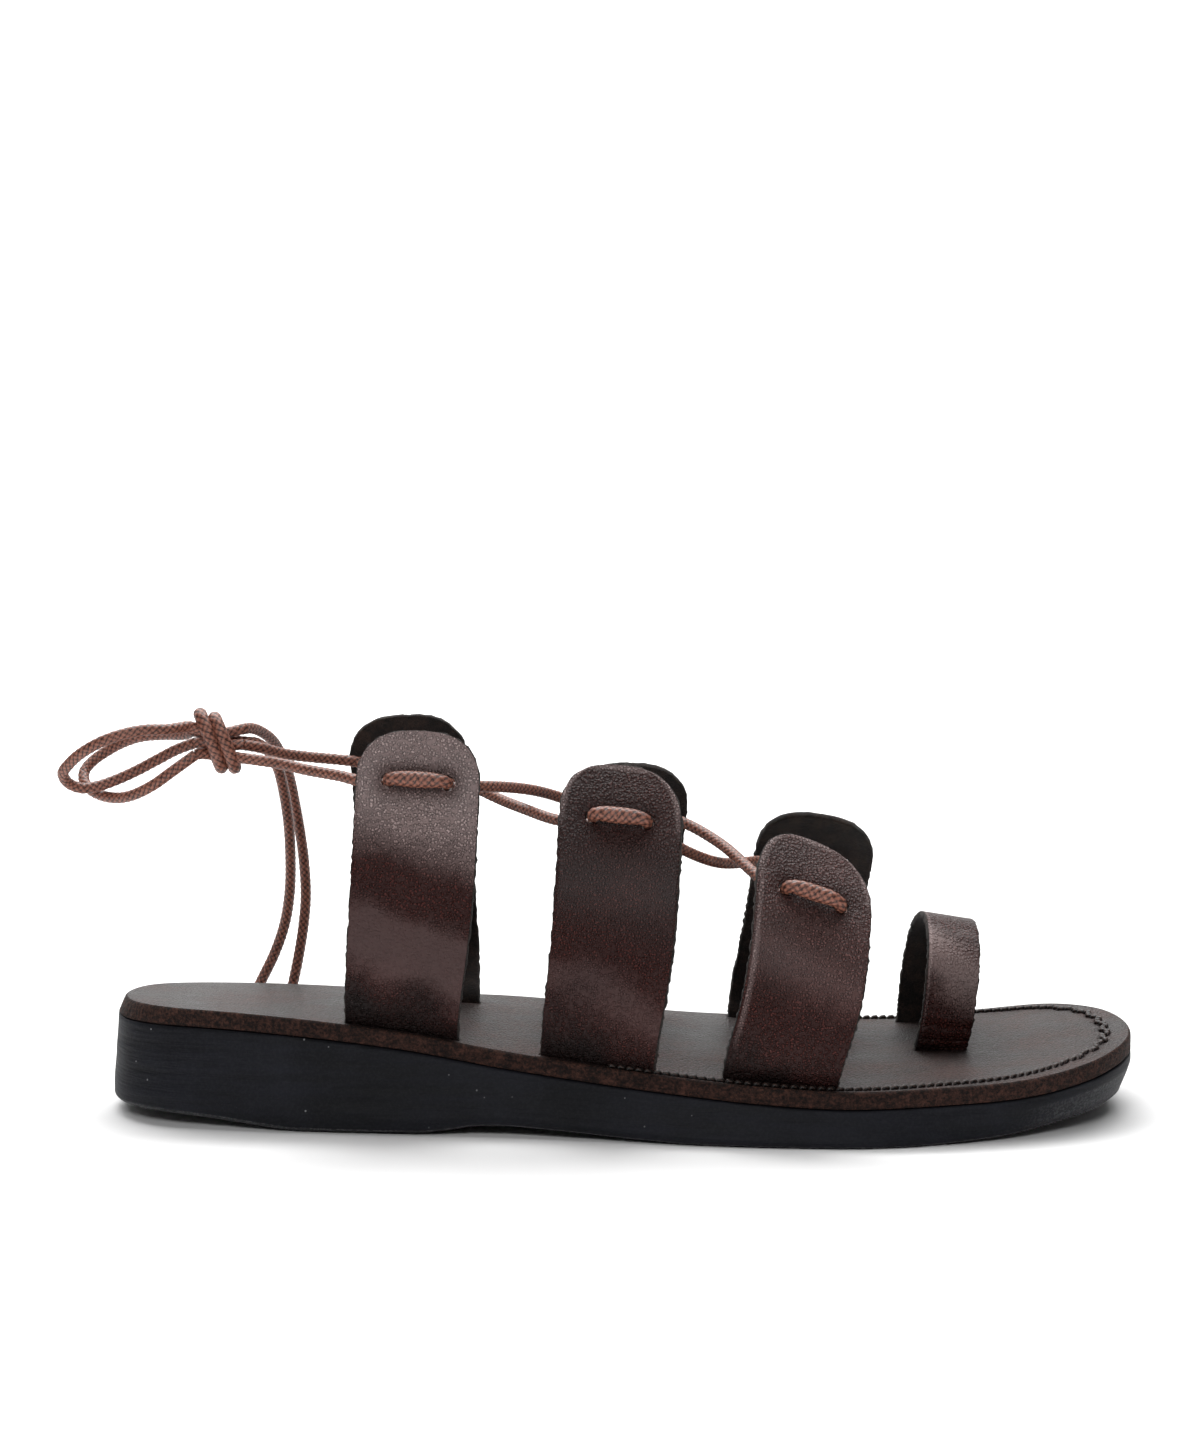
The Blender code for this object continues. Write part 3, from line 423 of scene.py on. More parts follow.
class Kit:
    """The nodes of one material."""

    def __init__(self, name: str) -> None:
        """Start a material with its Principled shader."""
        self.material = bpy.data.materials.new(name)
        self.material.use_nodes = True
        self.tree = self.material.node_tree
        self.shader = self.tree.nodes["Principled BSDF"]

    def node(self, kind: str, settings: dict | None = None, **sockets: object) -> bpy.types.Node:
        """Add a node, set it up, then fill its sockets.

        Args:
            kind: the node's type.
            settings: attributes, set first.
            sockets: values or links, by socket name with _ for a space, or in0, in1 by place.

        Returns:
            The node.
        """
        made = self.tree.nodes.new(kind)
        for key, value in (settings or {}).items():
            setattr(made, key, value)
        for key, value in sockets.items():
            spot = int(key[2:]) if key.startswith("in") and key[2:].isdigit() else key.replace("_", " ")
            self.put(made.inputs[spot], value)
        return made

    def put(self, target: bpy.types.NodeSocket, value: object) -> None:
        """Link a socket or set its value."""
        if isinstance(value, Socket):
            self.tree.links.new(value.link, target)
        elif isinstance(value, tuple) and len(value) == 3 and target.type == "RGBA":
            target.default_value = (*value, 1.0)
        else:
            target.default_value = value

    def out(self, made: bpy.types.Node, name: str | int = 0) -> Socket:
        """Wrap a node's output."""
        return Socket(self, made.outputs[name])

    def math(self, operation: str, *values: Socket | float) -> Socket:
        """Add a Math node on one, two or three values."""
        sockets = {f"in{k}": value for k, value in enumerate(values)}
        return self.out(self.node("ShaderNodeMath", {"operation": operation}, **sockets))

    def coordinates(self, scale: tuple[float, float, float] = (1, 1, 1), uv: bool = False) -> Socket:
        """Give Object or UV coordinates, stretched by a Mapping node."""
        source = self.out(self.node("ShaderNodeTexCoord"), "UV" if uv else "Object")
        return self.out(self.node("ShaderNodeMapping", {}, Vector=source, Scale=scale))

    def noise(self, where: Socket, scale: float, detail: float = 3.0, rough: float = 0.5,
              distortion: float = 0.0) -> Socket:
        """Give a Noise texture's value."""
        return self.out(self.node("ShaderNodeTexNoise", {}, Vector=where, Scale=scale, Detail=detail,
                                  Roughness=rough, Distortion=distortion), 0)

    def cells(self, where: Socket, scale: float) -> Socket:
        """Give a Voronoi texture's distance."""
        return self.out(self.node("ShaderNodeTexVoronoi", {}, Vector=where, Scale=scale), "Distance")

    def ramp(self, value: Socket, low: float, high: float, start: float = 0.0, end: float = 1.0) -> Socket:
        """Map a value from one range to another with a smooth, clamped step."""
        return self.out(self.node("ShaderNodeMapRange", {"interpolation_type": "SMOOTHSTEP", "clamp": True},
                                  Value=value, From_Min=low, From_Max=high, To_Min=start, To_Max=end))

    def zone(self, value: Socket, rise: tuple[float, float], fall: tuple[float, float]) -> Socket:
        """Give 1 between two smooth steps: up over one range, down over another."""
        return self.ramp(value, *rise) * self.ramp(value, *fall, 1.0, 0.0)

    def mix(self, factor: Socket, first: object, second: object) -> Socket:
        """Mix two colours."""
        made = self.node("ShaderNodeMix", {"data_type": "RGBA"}, in0=factor, in6=first, in7=second)
        return self.out(made, 2)

    def bump(self, height: Socket, distance: float, strength: float = 1.0) -> None:
        """Let a height field bend the shader's normal, after any bump that is there."""
        target = self.shader.inputs["Normal"]
        made = self.node("ShaderNodeBump", {}, Height=height, Distance=distance, Strength=strength)
        for link in target.links[:1]:
            self.tree.links.new(link.from_socket, made.inputs["Normal"])
        self.tree.links.new(made.outputs[0], target)

    def shade(self, **sockets: object) -> None:
        """Fill the Principled shader's sockets, by name with _ for a space."""
        for key, value in sockets.items():
            self.put(self.shader.inputs[key.replace("_", " ")], value)


@dataclass(frozen=True)
class GrainLeather:
    """Waxed full-grain strap leather: dark reddish brown with fine pebbles, under painted light: a painted
    sheen and painted highlights, a painted grey reflection lower down, and painted shade between the pebbles,
    round the lace and at the foot.

    Heights in sheen, band and the painted reflection are shares of the strap's height.
    """

    name: str = "strap_grain"
    # painted shade: the near black the strap darkens to at its foot, where it curves under into the slot
    foot: tuple = (0.0060, 0.0022, 0.0018)
    dark: tuple = (0.0440, 0.0125, 0.0105)
    warm: tuple = (0.0900, 0.0250, 0.0205)
    red: tuple = (0.0840, 0.0170, 0.0130)
    # darker red round the lace's bar: partly real burnish, partly painted shade under the lace
    burnish_and_lace_shade: tuple = (0.0420, 0.0090, 0.0062)
    # the colour of the painted sheen and painted highlights
    pale: tuple = (0.6200, 0.4700, 0.4550)
    # the colour of the painted grey reflection lower down the strap; on the toe loop, a pale painted
    # highlight
    reflection_color: tuple = (0.0780, 0.0460, 0.0440)
    # painted shade between the pebbles
    pebble_shade: tuple = (0.0050, 0.0018, 0.0015)
    # start, full and weight of the painted sheen up the strap
    sheen: tuple = (0.55, 0.72, 0.10)
    band: tuple = (0.40, 0.54)
    # start, end and weight of the painted reflection's zone up the strap
    painted_reflection: tuple = (0.12, 0.40, 0.35)
    roughness: float = 0.40
    # weight of a painted highlight line along the rear edge
    edge: float = 0.0
    pebble: float = 1300.0
    jitter: float = 0.0006

    def make(self) -> bpy.types.Material:
        """Build clouds of colour, a painted sheen, a red band, a painted grey reflection, a foot darkened by
        painted shade, pebbles and folds.

        The UV map's second half is the height up the strap, 0 to 1. The attribute crown
        is 1 where the lace presses on the leather; there painted shade darkens it and the painted highlights
        fade.
        """
        kit = Kit(self.name)
        place = kit.coordinates()
        split = kit.node("ShaderNodeSeparateXYZ", {}, Vector=kit.coordinates(uv=True))
        across, up = kit.out(split, "X"), kit.out(split, "Y")
        press = kit.out(kit.node("ShaderNodeAttribute", {"attribute_name": "crown"}), "Fac")
        clouds = kit.noise(place, 55.0, 3.0, 0.55)
        fine = kit.noise(place, 1100.0, 2.0, 0.6)
        jitter = kit.out(kit.node("ShaderNodeTexNoise", {}, Vector=place, Scale=900.0), 1)
        bent = kit.node("ShaderNodeVectorMath", {"operation": "MULTIPLY_ADD"},
                        in0=jitter, in1=(self.jitter, self.jitter, self.jitter), in2=place)
        pebbles = kit.cells(kit.out(bent), self.pebble)
        tops = kit.ramp(pebbles + (fine - 0.5) * 0.3, 0.25, 0.62, 1.0, 0.0)
        wander = up + (clouds - 0.5) * 0.22 + (across - 0.5) * 0.10
        band = kit.zone(wander, (self.band[0] - 0.08, self.band[0] + 0.04),
                        (self.band[1] - 0.04, self.band[1] + 0.08))
        # painted reflection: a grey zone lower down the strap, where the pebbles are also calmer
        painted_reflection = kit.zone(wander, (self.painted_reflection[0], self.painted_reflection[0] + 0.12), (self.painted_reflection[1] - 0.10, self.painted_reflection[1]))
        painted_reflection = painted_reflection * self.painted_reflection[2]
        color = kit.mix(kit.ramp(clouds + fine * 0.2, 0.42, 0.76), self.dark, self.warm)
        color = kit.mix(band * 0.75, color, self.red)
        color = kit.mix(painted_reflection, color, self.reflection_color)
        # painted shade: darker towards the foot of the strap
        color = kit.mix(kit.ramp(wander, 0.0, 0.15, 0.9, 0.0), color, self.foot)
        # painted shade round the lace's bar, with some real burnish
        color = kit.mix(press * 0.85, color, self.burnish_and_lace_shade)
        # painted shade between the pebbles, less in the painted reflection's zone
        color = kit.mix((1.0 - tops) * (0.66 - painted_reflection * 0.80), color, self.pebble_shade)
        # painted highlights along the tab's sides and top
        rim = kit.ramp(kit.math("ABSOLUTE", across - 0.5), 0.43, 0.485) * kit.ramp(up, 0.74, 0.90)
        rim = kit.math("MAXIMUM", rim, kit.ramp(up, 0.972, 0.992)) * 0.55
        # a painted highlight line along the rear edge
        line = kit.zone(across, (0.012, 0.030), (0.040, 0.085))
        rim = kit.math("MAXIMUM", rim, line * kit.ramp(up, 0.10, 0.30) * self.edge)
        # painted sheen and highlights, brighter on the pebbles' tops, faded where the lace presses
        sheen = kit.ramp(wander, self.sheen[0], self.sheen[1]) * self.sheen[2]
        pale = kit.math("MAXIMUM", sheen, rim) * (tops * 0.55 + 0.45) * (1.0 - press * 0.9)
        folds = kit.noise(kit.coordinates((0.8, 1.0, 2.2)), 330.0, 3.0, 0.6, 1.4)
        kit.shade(Base_Color=kit.mix(pale, color, self.pale), Roughness=self.roughness + fine * 0.16,
                  Coat_Weight=0.07, Coat_Roughness=0.25, Specular_IOR_Level=0.20)
        kit.bump(folds, 0.00045, 0.3)
        kit.bump((tops + fine * 0.5) * (1.0 - painted_reflection * 1.1), 0.0012, 1.0)
        return kit.material


@dataclass(frozen=True)
class FleshLeather:
    """The straps' suede back and their raw cut edges."""

    name: str = "strap_flesh"
    dark: tuple = (0.0045, 0.0030, 0.0026)
    pale: tuple = (0.052, 0.029, 0.021)

    def make(self) -> bpy.types.Material:
        """Build a matt, fibrous, nearly black brown."""
        kit = Kit(self.name)
        place = kit.coordinates()
        fibres = kit.noise(place, 1900.0, 4.0, 0.7, 1.2)
        patches = kit.noise(place, 260.0, 3.0, 0.6)
        color = kit.mix(kit.ramp(fibres * 0.65 + patches * 0.4, 0.42, 0.78), self.dark, self.pale)
        kit.shade(Base_Color=color, Roughness=0.93, Specular_IOR_Level=0.2, Sheen_Weight=0.12,
                  Sheen_Roughness=0.6)
        kit.bump(fibres + patches * 0.5, 0.0005, 0.8)
        return kit.material


@dataclass(frozen=True)
class FootbedLeather:
    """The insole's top: dark satin leather with pores, wear and faint folds."""

    name: str = "footbed_top"
    dark: tuple = (0.020, 0.0115, 0.0100)
    warm: tuple = (0.072, 0.035, 0.029)
    pore: tuple = (0.0060, 0.0035, 0.0030)
    spot: tuple = (0.0035, 0.0022, 0.0020)

    def make(self) -> bpy.types.Material:
        """Build the satin leather with pores, worn spots and folds."""
        kit = Kit(self.name)
        place = kit.coordinates()
        clouds = kit.noise(place, 60.0, 4.0, 0.6)
        pores = kit.cells(place, 1500.0)
        specks = kit.noise(place, 1700.0, 2.0, 0.6)
        folds = kit.noise(kit.coordinates((0.35, 1.0, 1.0)), 120.0, 3.0, 0.6, 0.8)
        color = kit.mix(kit.ramp(clouds, 0.35, 0.72), self.dark, self.warm)
        crevices = kit.ramp(pores + (specks - 0.5) * 0.6, 0.30, 0.60) * 0.6
        color = kit.mix(crevices, color, self.pore)
        spots = kit.ramp(kit.cells(place, 95.0), 0.035, 0.075, 0.85, 0.0)
        color = kit.mix(spots * kit.ramp(clouds, 0.50, 0.56), color, self.spot)
        kit.shade(Base_Color=color, Roughness=0.26 + specks * 0.22 + clouds * 0.30,
                  Coat_Weight=0.02, Coat_Roughness=0.4, Specular_IOR_Level=0.25)
        kit.bump(folds, 0.0010, 0.5)
        kit.bump(pores * -0.8 + specks * 0.8, 0.00055, 1.0)
        return kit.material


@dataclass(frozen=True)
class RawEdge:
    """The insole's bare side: brown pressed fibres in thin level streaks."""

    name: str = "footbed_edge"
    dark: tuple = (0.0068, 0.0036, 0.0030)
    pale: tuple = (0.0780, 0.0330, 0.0230)

    def make(self) -> bpy.types.Material:
        """Build the fibres in level streaks and patches."""
        kit = Kit(self.name)
        streaks = kit.noise(kit.coordinates((0.5, 0.5, 1.0)), 800.0, 4.0, 0.75)
        grit = kit.noise(kit.coordinates(), 1300.0, 3.0, 0.75)
        patches = kit.noise(kit.coordinates(), 260.0, 3.0, 0.65)
        tone = kit.ramp(streaks * 0.45 + grit * 0.6 + patches * 0.22, 0.52, 0.86)
        kit.shade(Base_Color=kit.mix(tone, self.dark, self.pale), Roughness=0.78,
                  Specular_IOR_Level=0.20)
        kit.bump(streaks * 0.5 + grit, 0.0006, 0.9)
        return kit.material


@dataclass(frozen=True)
class SoleRubber:
    """Moulded blue-black rubber with level streaks and specks, and a painted reflection of the pale floor."""

    name: str = "sole_rubber"
    dark: tuple = (0.0032, 0.0035, 0.0052)
    dusty: tuple = (0.0110, 0.0118, 0.0175)
    # the colour of the painted reflection of the pale floor
    floor_reflection: tuple = (0.085, 0.085, 0.090)
    speck: tuple = (0.24, 0.24, 0.25)

    def make(self) -> bpy.types.Material:
        """Build the rubber, lighter by a painted floor reflection on the faces that look down."""
        kit = Kit(self.name)
        place = kit.coordinates()
        streaks = kit.noise(kit.coordinates((0.09, 0.09, 1.0)), 420.0, 3.0, 0.6)
        clouds = kit.noise(place, 45.0, 4.0, 0.6)
        specks = kit.cells(place, 330.0)
        dots = kit.ramp(specks, 0.045, 0.11, 1.0, 0.0) * kit.ramp(kit.noise(place, 160.0), 0.56, 0.66)
        base = kit.mix(kit.ramp(clouds * 0.6 + streaks * 0.5, 0.35, 0.80), self.dark, self.dusty)
        facing = kit.out(kit.node("ShaderNodeNewGeometry", {}), "Normal")
        lift = kit.out(kit.node("ShaderNodeSeparateXYZ", {}, Vector=facing), "Z")
        grit = kit.ramp(kit.noise(place, 1500.0, 2.0, 0.7), 0.44, 0.62)
        # painted reflection of the floor: strong where the rubber looks down, faint elsewhere, broken up by
        # noise
        floor_reflection_mask = kit.ramp(lift, -0.55, -0.16, 0.95, 0.06) * (grit * 0.75 + 0.25)
        base = kit.mix(floor_reflection_mask, base, self.floor_reflection)
        kit.shade(Base_Color=kit.mix(dots * 0.85, base, self.speck),
                  Roughness=0.50 + streaks * 0.18, Specular_IOR_Level=0.15)
        kit.bump(streaks, 0.0008, 0.6)
        kit.bump(kit.noise(place, 1300.0, 2.0, 0.6), 0.00012, 0.35)
        return kit.material


@dataclass(frozen=True)
class WaxedCord:
    """Braided waxed cord or thread: reddish brown, with painted shade between the strands."""

    name: str = "waxed_cord"
    dark: tuple = (0.034, 0.0120, 0.0085)
    warm: tuple = (0.400, 0.152, 0.098)
    roughness: float = 0.40
    fibre: float = 2600.0

    def make(self) -> bpy.types.Material:
        """Build the cord. The attribute crown, the strands' height, paints shade into the gaps."""
        kit = Kit(self.name)
        place = kit.coordinates()
        attribute = kit.node("ShaderNodeAttribute", {"attribute_name": "crown"})
        crown = kit.out(attribute, "Fac")
        fibres = kit.noise(place, self.fibre, 2.0, 0.6)
        patches = kit.noise(place, 150.0, 2.0, 0.5)
        # painted shade: darker where the strands sink, lighter on their crowns
        tone = kit.ramp(crown * 0.80 + fibres * 0.45 + patches * 0.20, 0.55, 1.25)
        kit.shade(Base_Color=kit.mix(tone, self.dark, self.warm), Roughness=self.roughness + fibres * 0.2,
                  Coat_Weight=0.16, Coat_Roughness=0.25, Specular_IOR_Level=0.45)
        kit.bump(fibres, 0.0002, 0.45)
        return kit.material


@dataclass(frozen=True)
class Paper:
    """The plain pale floor."""

    name: str = "floor_paper"
    tone: float = 0.92

    def make(self) -> bpy.types.Material:
        """Build the material."""
        kit = Kit(self.name)
        kit.shade(Base_Color=(self.tone, self.tone, self.tone), Roughness=0.9, Specular_IOR_Level=0.1)
        return kit.material


@dataclass
class SoleForm:
    """The last's shape: outline, height and underside, shared by all pieces."""

    length: float = 260.25 * MM
    ball_half: float = 48.0 * MM
    heel_height: float = 28.2 * MM
    ball_height: float = 13.6 * MM
    toe_spring: float = 6.8 * MM
    bank_rise: float = 1.3 * MM
    insole: float = 4.4 * MM
    gap: float = 0.3 * MM
    slant: float = 1.8 * MM
    flare: float = 3.0 * MM
    bevel: float = 2.5 * MM
    toe_lift: float = 8.0 * MM
    arch_lift: float = 2.2 * MM
    roll: float = 4.2 * MM
    pad: float = 0.9 * MM
    shift: float = 1.575 * MM

    def along(self, x: Array) -> Array:
        """Share of the sole's length at x, between 0 and 1."""
        return np.clip((np.asarray(x, dtype=float) - self.shift) / self.length + 0.5, 0.0, 1.0)

    def at_along(self, along: Array | float) -> Array | float:
        """Give x at a share of the length."""
        return (along - 0.5) * self.length + self.shift

    def outline(self, steps: int) -> Array:
        """Run the leather's outline as one ring: heel, outer side, toe, inner side.

        Args:
            steps: points for each row of the outline's table.

        Returns:
            One x and y for each point. Point k and point -k face each other.
        """
        rows = OUTLINE.rows
        outer = np.stack([self.at_along(rows[:, 0]), rows[:, 1] * self.ball_half], axis=1)
        inner = np.stack([self.at_along(rows[:, 0]), rows[:, 2] * self.ball_half], axis=1)[-2:0:-1]
        return smooth_path(np.concatenate([outer, inner]), steps, closed=True)

    @staticmethod
    def outward(ring: Array) -> Array:
        """Unit directions that point out of a ring, seen from above."""
        ahead = ahead_round(ring)
        return np.stack([ahead[:, 1], -ahead[:, 0]], axis=1)

    def edge(self, side: Side, along: float, inset: float) -> float:
        """Give y at a distance in from the leather's edge."""
        column = "lateral" if side is Side.OUTER else "medial"
        return float(OUTLINE.at(column, along)) * self.ball_half - side.value * inset

    def top(self, x: Array, y: Array) -> Array:
        """Height of the leather: heel over ball, toe spring and bank, by their tables."""
        along = self.along(x)
        rise = HEIGHT.at("heel", along) * (self.heel_height - self.ball_height)
        spring = HEIGHT.at("toe", along) * self.toe_spring
        bank = HEIGHT.at("bank", along) * self.bank_rise * np.asarray(y) / (0.62 * self.ball_half)
        return self.ball_height + rise + spring - bank

    def pads(self, x: Array, y: Array) -> Array:
        """Height of the soft pads: each a bump (1 - r squared) squared inside its radius."""
        total = np.zeros_like(np.asarray(x, dtype=float))
        for along, across, radius, height in PADS:
            away = np.hypot(x - self.at_along(along), y - across * self.ball_half)
            share = np.clip(1 - (away / (radius * 2 * self.ball_half)) ** 2, 0, 1)
            total = total + self.pad * height * share**2
        return total

    def lean(self, x: Array) -> Array:
        """How far the leather's lower edge stands out at the heel."""
        along = (np.asarray(x) - self.shift) / self.length + 0.5
        return self.slant * np.clip(1 - along / 0.075, 0, 1)

    def under(self, x: Array, y: Array) -> Array:
        """Underside of the rubber: rolled heel, raised waist and lifted toe."""
        along = self.along(x)
        outer_share = np.clip(0.75 - 0.4 * np.asarray(y) / self.ball_half, 0.4, 1.0)
        height = (UNDERSIDE.at("roll", along) * self.roll * outer_share
                  + UNDERSIDE.at("arch", along) * self.arch_lift
                  + UNDERSIDE.at("lift", along) * self.toe_lift)
        return np.where(height < 0.0001, 0.0, height)


def close_ring(points: Array, first: int, count: int, columns: int,
               height: Callable[[Array, Array], Array], facing_up: bool) -> tuple[Array, list[Array]]:
    """Fill a ring of the sole with a grid between its two sides.

    Args:
        points: all points so far, the ring's own among them, heel first.
        first: index of the ring's first point.
        count: the ring's points.
        columns: faces across.
        height: gives z at x and y.
        facing_up: which way the faces look.

    Returns:
        All points, the new ones at the end, and the groups of faces.
    """
    ring = points[first:first + count, :2]
    half = count // 2
    rows = np.arange(1, half)
    outer, inner = ring[rows], ring[count - rows]
    share = np.arange(1, columns)[None, :, None] / columns
    fresh = (outer[:, None, :] + (inner - outer)[:, None, :] * share).reshape(-1, 2)
    index = np.empty((half - 1, columns + 1), dtype=int)
    index[:, 0] = first + rows
    index[:, -1] = first + count - rows
    index[:, 1:-1] = len(points) + np.arange(len(fresh)).reshape(half - 1, columns - 1)
    quads = np.stack([index[:-1, :-1], index[1:, :-1], index[1:, 1:], index[:-1, 1:]], axis=-1).reshape(-1, 4)
    heel = np.stack([np.full(columns, first), index[0, :-1], index[0, 1:]], axis=-1)
    toe = np.stack([index[-1, :-1], np.full(columns, first + half), index[-1, 1:]], axis=-1)
    groups = [quads, heel, toe]
    points = np.concatenate([points, np.column_stack([fresh, height(fresh[:, 0], fresh[:, 1])])])
    return points, groups if facing_up else [group[:, ::-1] for group in groups]


@dataclass
class Insole:
    """The thick leather footbed: rounded rim, raw side, pads, groove and slots."""

    form: SoleForm
    rounding: float = 0.9 * MM
    groove_depth: float = 0.60 * MM
    groove_width: float = 0.95 * MM
    wave: float = 0.65 * MM
    wave_step: float = 9.0 * MM
    roughness: float = 0.07 * MM
    stitched_from: tuple = (0.60, 0.475)
    ring_step: float = 0.35 * MM
    fine_band: float = 9.0 * MM
    outline_steps: int = 22
    columns: int = 56

    def by_side(self, ring: Array, inner: Array, outer: Array) -> Array:
        """Pick the inner or the outer side's value for each point of a ring."""
        return np.where(ring[:, 1] > 0.1 * self.form.ball_half, inner, outer)

    def stitch_inset(self, ring: Array) -> Array:
        """Distance of the stitch line from the edge, by side and place along the sole."""
        along = self.form.along(ring[:, 0])
        inset = self.by_side(ring, STITCH_LINE.at("inner", along), STITCH_LINE.at("outer", along))
        steps = np.linalg.norm(np.diff(ring, axis=0, append=ring[:1]), axis=1)
        front = np.clip((self.form.outward(ring)[:, 0] - 0.45) / 0.3, 0, 1)
        wave = np.sin((np.cumsum(steps) - steps) / self.wave_step * TURN) * front * self.wave
        return inset * MM + wave

    def stitched(self, ring: Array) -> Array:
        """Where the stitch line runs, 1 on it and 0 off it."""
        along = self.form.along(ring[:, 0])
        return self.by_side(ring, *(np.clip((along - start) / 0.012, 0, 1) for start in self.stitched_from))

    def height(self, x: Array, y: Array) -> Array:
        """Top of the leather with its pads."""
        return self.form.top(x, y) + self.form.pads(x, y)

    def build(self, top: bpy.types.Material, side: bpy.types.Material) -> bpy.types.Object:
        """Make the insole from rings: up its side, over its rim, then in across the top.

        Args:
            top: the leather of the upper face.
            side: the raw leather of the edge.

        Returns:
            The piece.
        """
        form = self.form
        ring = form.outline(self.outline_steps)
        normal = form.outward(ring)
        lean = form.lean(ring[:, 0])
        base = form.top(ring[:, 0], ring[:, 1])
        rounding = self.rounding
        levels = [(lean - 0.4 * rounding, form.insole), (0.95 * lean, form.insole - 0.35 * rounding)]
        for share in np.linspace(0.85, 0.22, 9):
            levels.append((share * lean, form.insole * share))
        for angle in np.radians([18, 36, 54, 72]):
            out = -rounding * (1 - math.cos(angle)) + 0.12 * lean
            levels.append((out, rounding * (1 - math.sin(angle))))
        rough_levels = range(1, 11)
        side_rings = []
        for number, (out, down) in enumerate(levels):
            spot = ring + normal * np.reshape(out, (-1, 1))
            z = base - down
            rough = ripple(np.column_stack([spot, z]), 1.1 * MM, 5)
            rough = rough * (self.roughness if number in rough_levels else 0)
            side_rings.append(np.column_stack([spot + normal * rough[:, None], z]))
        inset = self.stitch_inset(ring)
        mask = self.stitched(ring)
        top_rings = []
        for depth in np.arange(rounding, self.fine_band, self.ring_step):
            spot = ring - normal * depth
            groove = np.exp(-((depth - inset) / self.groove_width) ** 2) * mask * self.groove_depth
            z = self.height(spot[:, 0], spot[:, 1]) - groove
            top_rings.append(np.column_stack([spot, z]))
        rings = side_rings + top_rings
        count = len(ring)
        points = np.concatenate(rings)
        side_faces = grid_faces(len(side_rings), count, True)
        top_faces = grid_faces(len(top_rings) + 1, count, True, (len(side_rings) - 1) * count)
        points, lid = close_ring(points, len(points) - count, count, self.columns, self.height, True)
        points, floor = close_ring(points, 0, count, 8, lambda x, y: form.top(x, y) - form.insole, False)
        groups = [side_faces, top_faces, *lid, *floor]
        return build_mesh("insole_leather", points, groups, [top, side], [1, 0, 0, 0, 0, 1, 1, 1])


@dataclass
class Stitching:
    """The waxed thread round the forefoot: short slanted twisted stitches."""

    insole: Insole
    pitch: float = 2.25 * MM
    stitch: float = 2.45 * MM
    thread: float = 1.15 * MM
    slant: float = 30.0
    ply: float = 0.16
    rows: int = 12
    sides: int = 8

    def build(self, material: bpy.types.Material) -> bpy.types.Object:
        """Lay one capsule with two twisted plies on each pitch of the line.

        Args:
            material: the thread's finish.

        Returns:
            One mesh of all stitches.
        """
        ring = self.insole.form.outline(40)
        normal = self.insole.form.outward(ring)
        line = ring - normal * self.insole.stitch_inset(ring)[:, None]
        keep = self.insole.stitched(ring) > 0.5
        start = int(np.argmax(keep))
        run = even_path(line[start:start + int(keep.sum())], self.pitch)
        ahead = unit(np.gradient(run, axis=0))
        turn = math.radians(self.slant)
        way = np.stack([ahead[:, 0] * math.cos(turn) - ahead[:, 1] * math.sin(turn),
                        ahead[:, 0] * math.sin(turn) + ahead[:, 1] * math.cos(turn)], axis=1)
        aside = np.stack([-way[:, 1], way[:, 0]], axis=1)
        t = np.linspace(-1, 1, self.rows)
        around = angles(self.sides)
        thick = np.sqrt(np.clip(1 - np.abs(t) ** 3.2, 0.02, 1)) * self.thread / 2
        twist = 1 + self.ply * np.cos(2 * around[None, :] - t[:, None] * 5.0)
        radius = thick[:, None] * twist
        lengthwise = np.repeat(t[:, None] * self.stitch / 2, self.sides, axis=1)
        sideways, lift = radius * np.cos(around), radius * np.sin(around)
        sink = (np.abs(t) ** 3 * 0.45 * MM)[:, None]
        x = run[:, 0, None, None] + way[:, 0, None, None] * lengthwise + aside[:, 0, None, None] * sideways
        y = run[:, 1, None, None] + way[:, 1, None, None] * lengthwise + aside[:, 1, None, None] * sideways
        ground = self.insole.height(x, y) - self.insole.groove_depth
        z = ground + self.thread * 0.74 + lift - sink
        points = np.stack([x, y, z], axis=-1).reshape(-1, 3)
        block = grid_faces(self.rows, self.sides, True)
        shift = (np.arange(len(run)) * self.rows * self.sides)[:, None, None]
        faces = (block[None] + shift).reshape(-1, 4)
        caps = np.arange(self.sides)[None, :] + shift[:, :, 0]
        ends = caps + (self.rows - 1) * self.sides
        thing = build_mesh("forefoot_stitches", points, [faces[:, ::-1], caps, ends[:, ::-1]], [material])
        set_crown(thing, np.tile(((twist - (1 - self.ply)) / (2 * self.ply)).ravel(), len(run)))
        return thing


def set_crown(thing: bpy.types.Object, crown: Array) -> None:
    """Keep one number for each vertex as the attribute crown."""
    layer = thing.data.attributes.new("crown", "FLOAT", "POINT")
    layer.data.foreach_set("value", np.asarray(crown, dtype=np.float32).ravel())


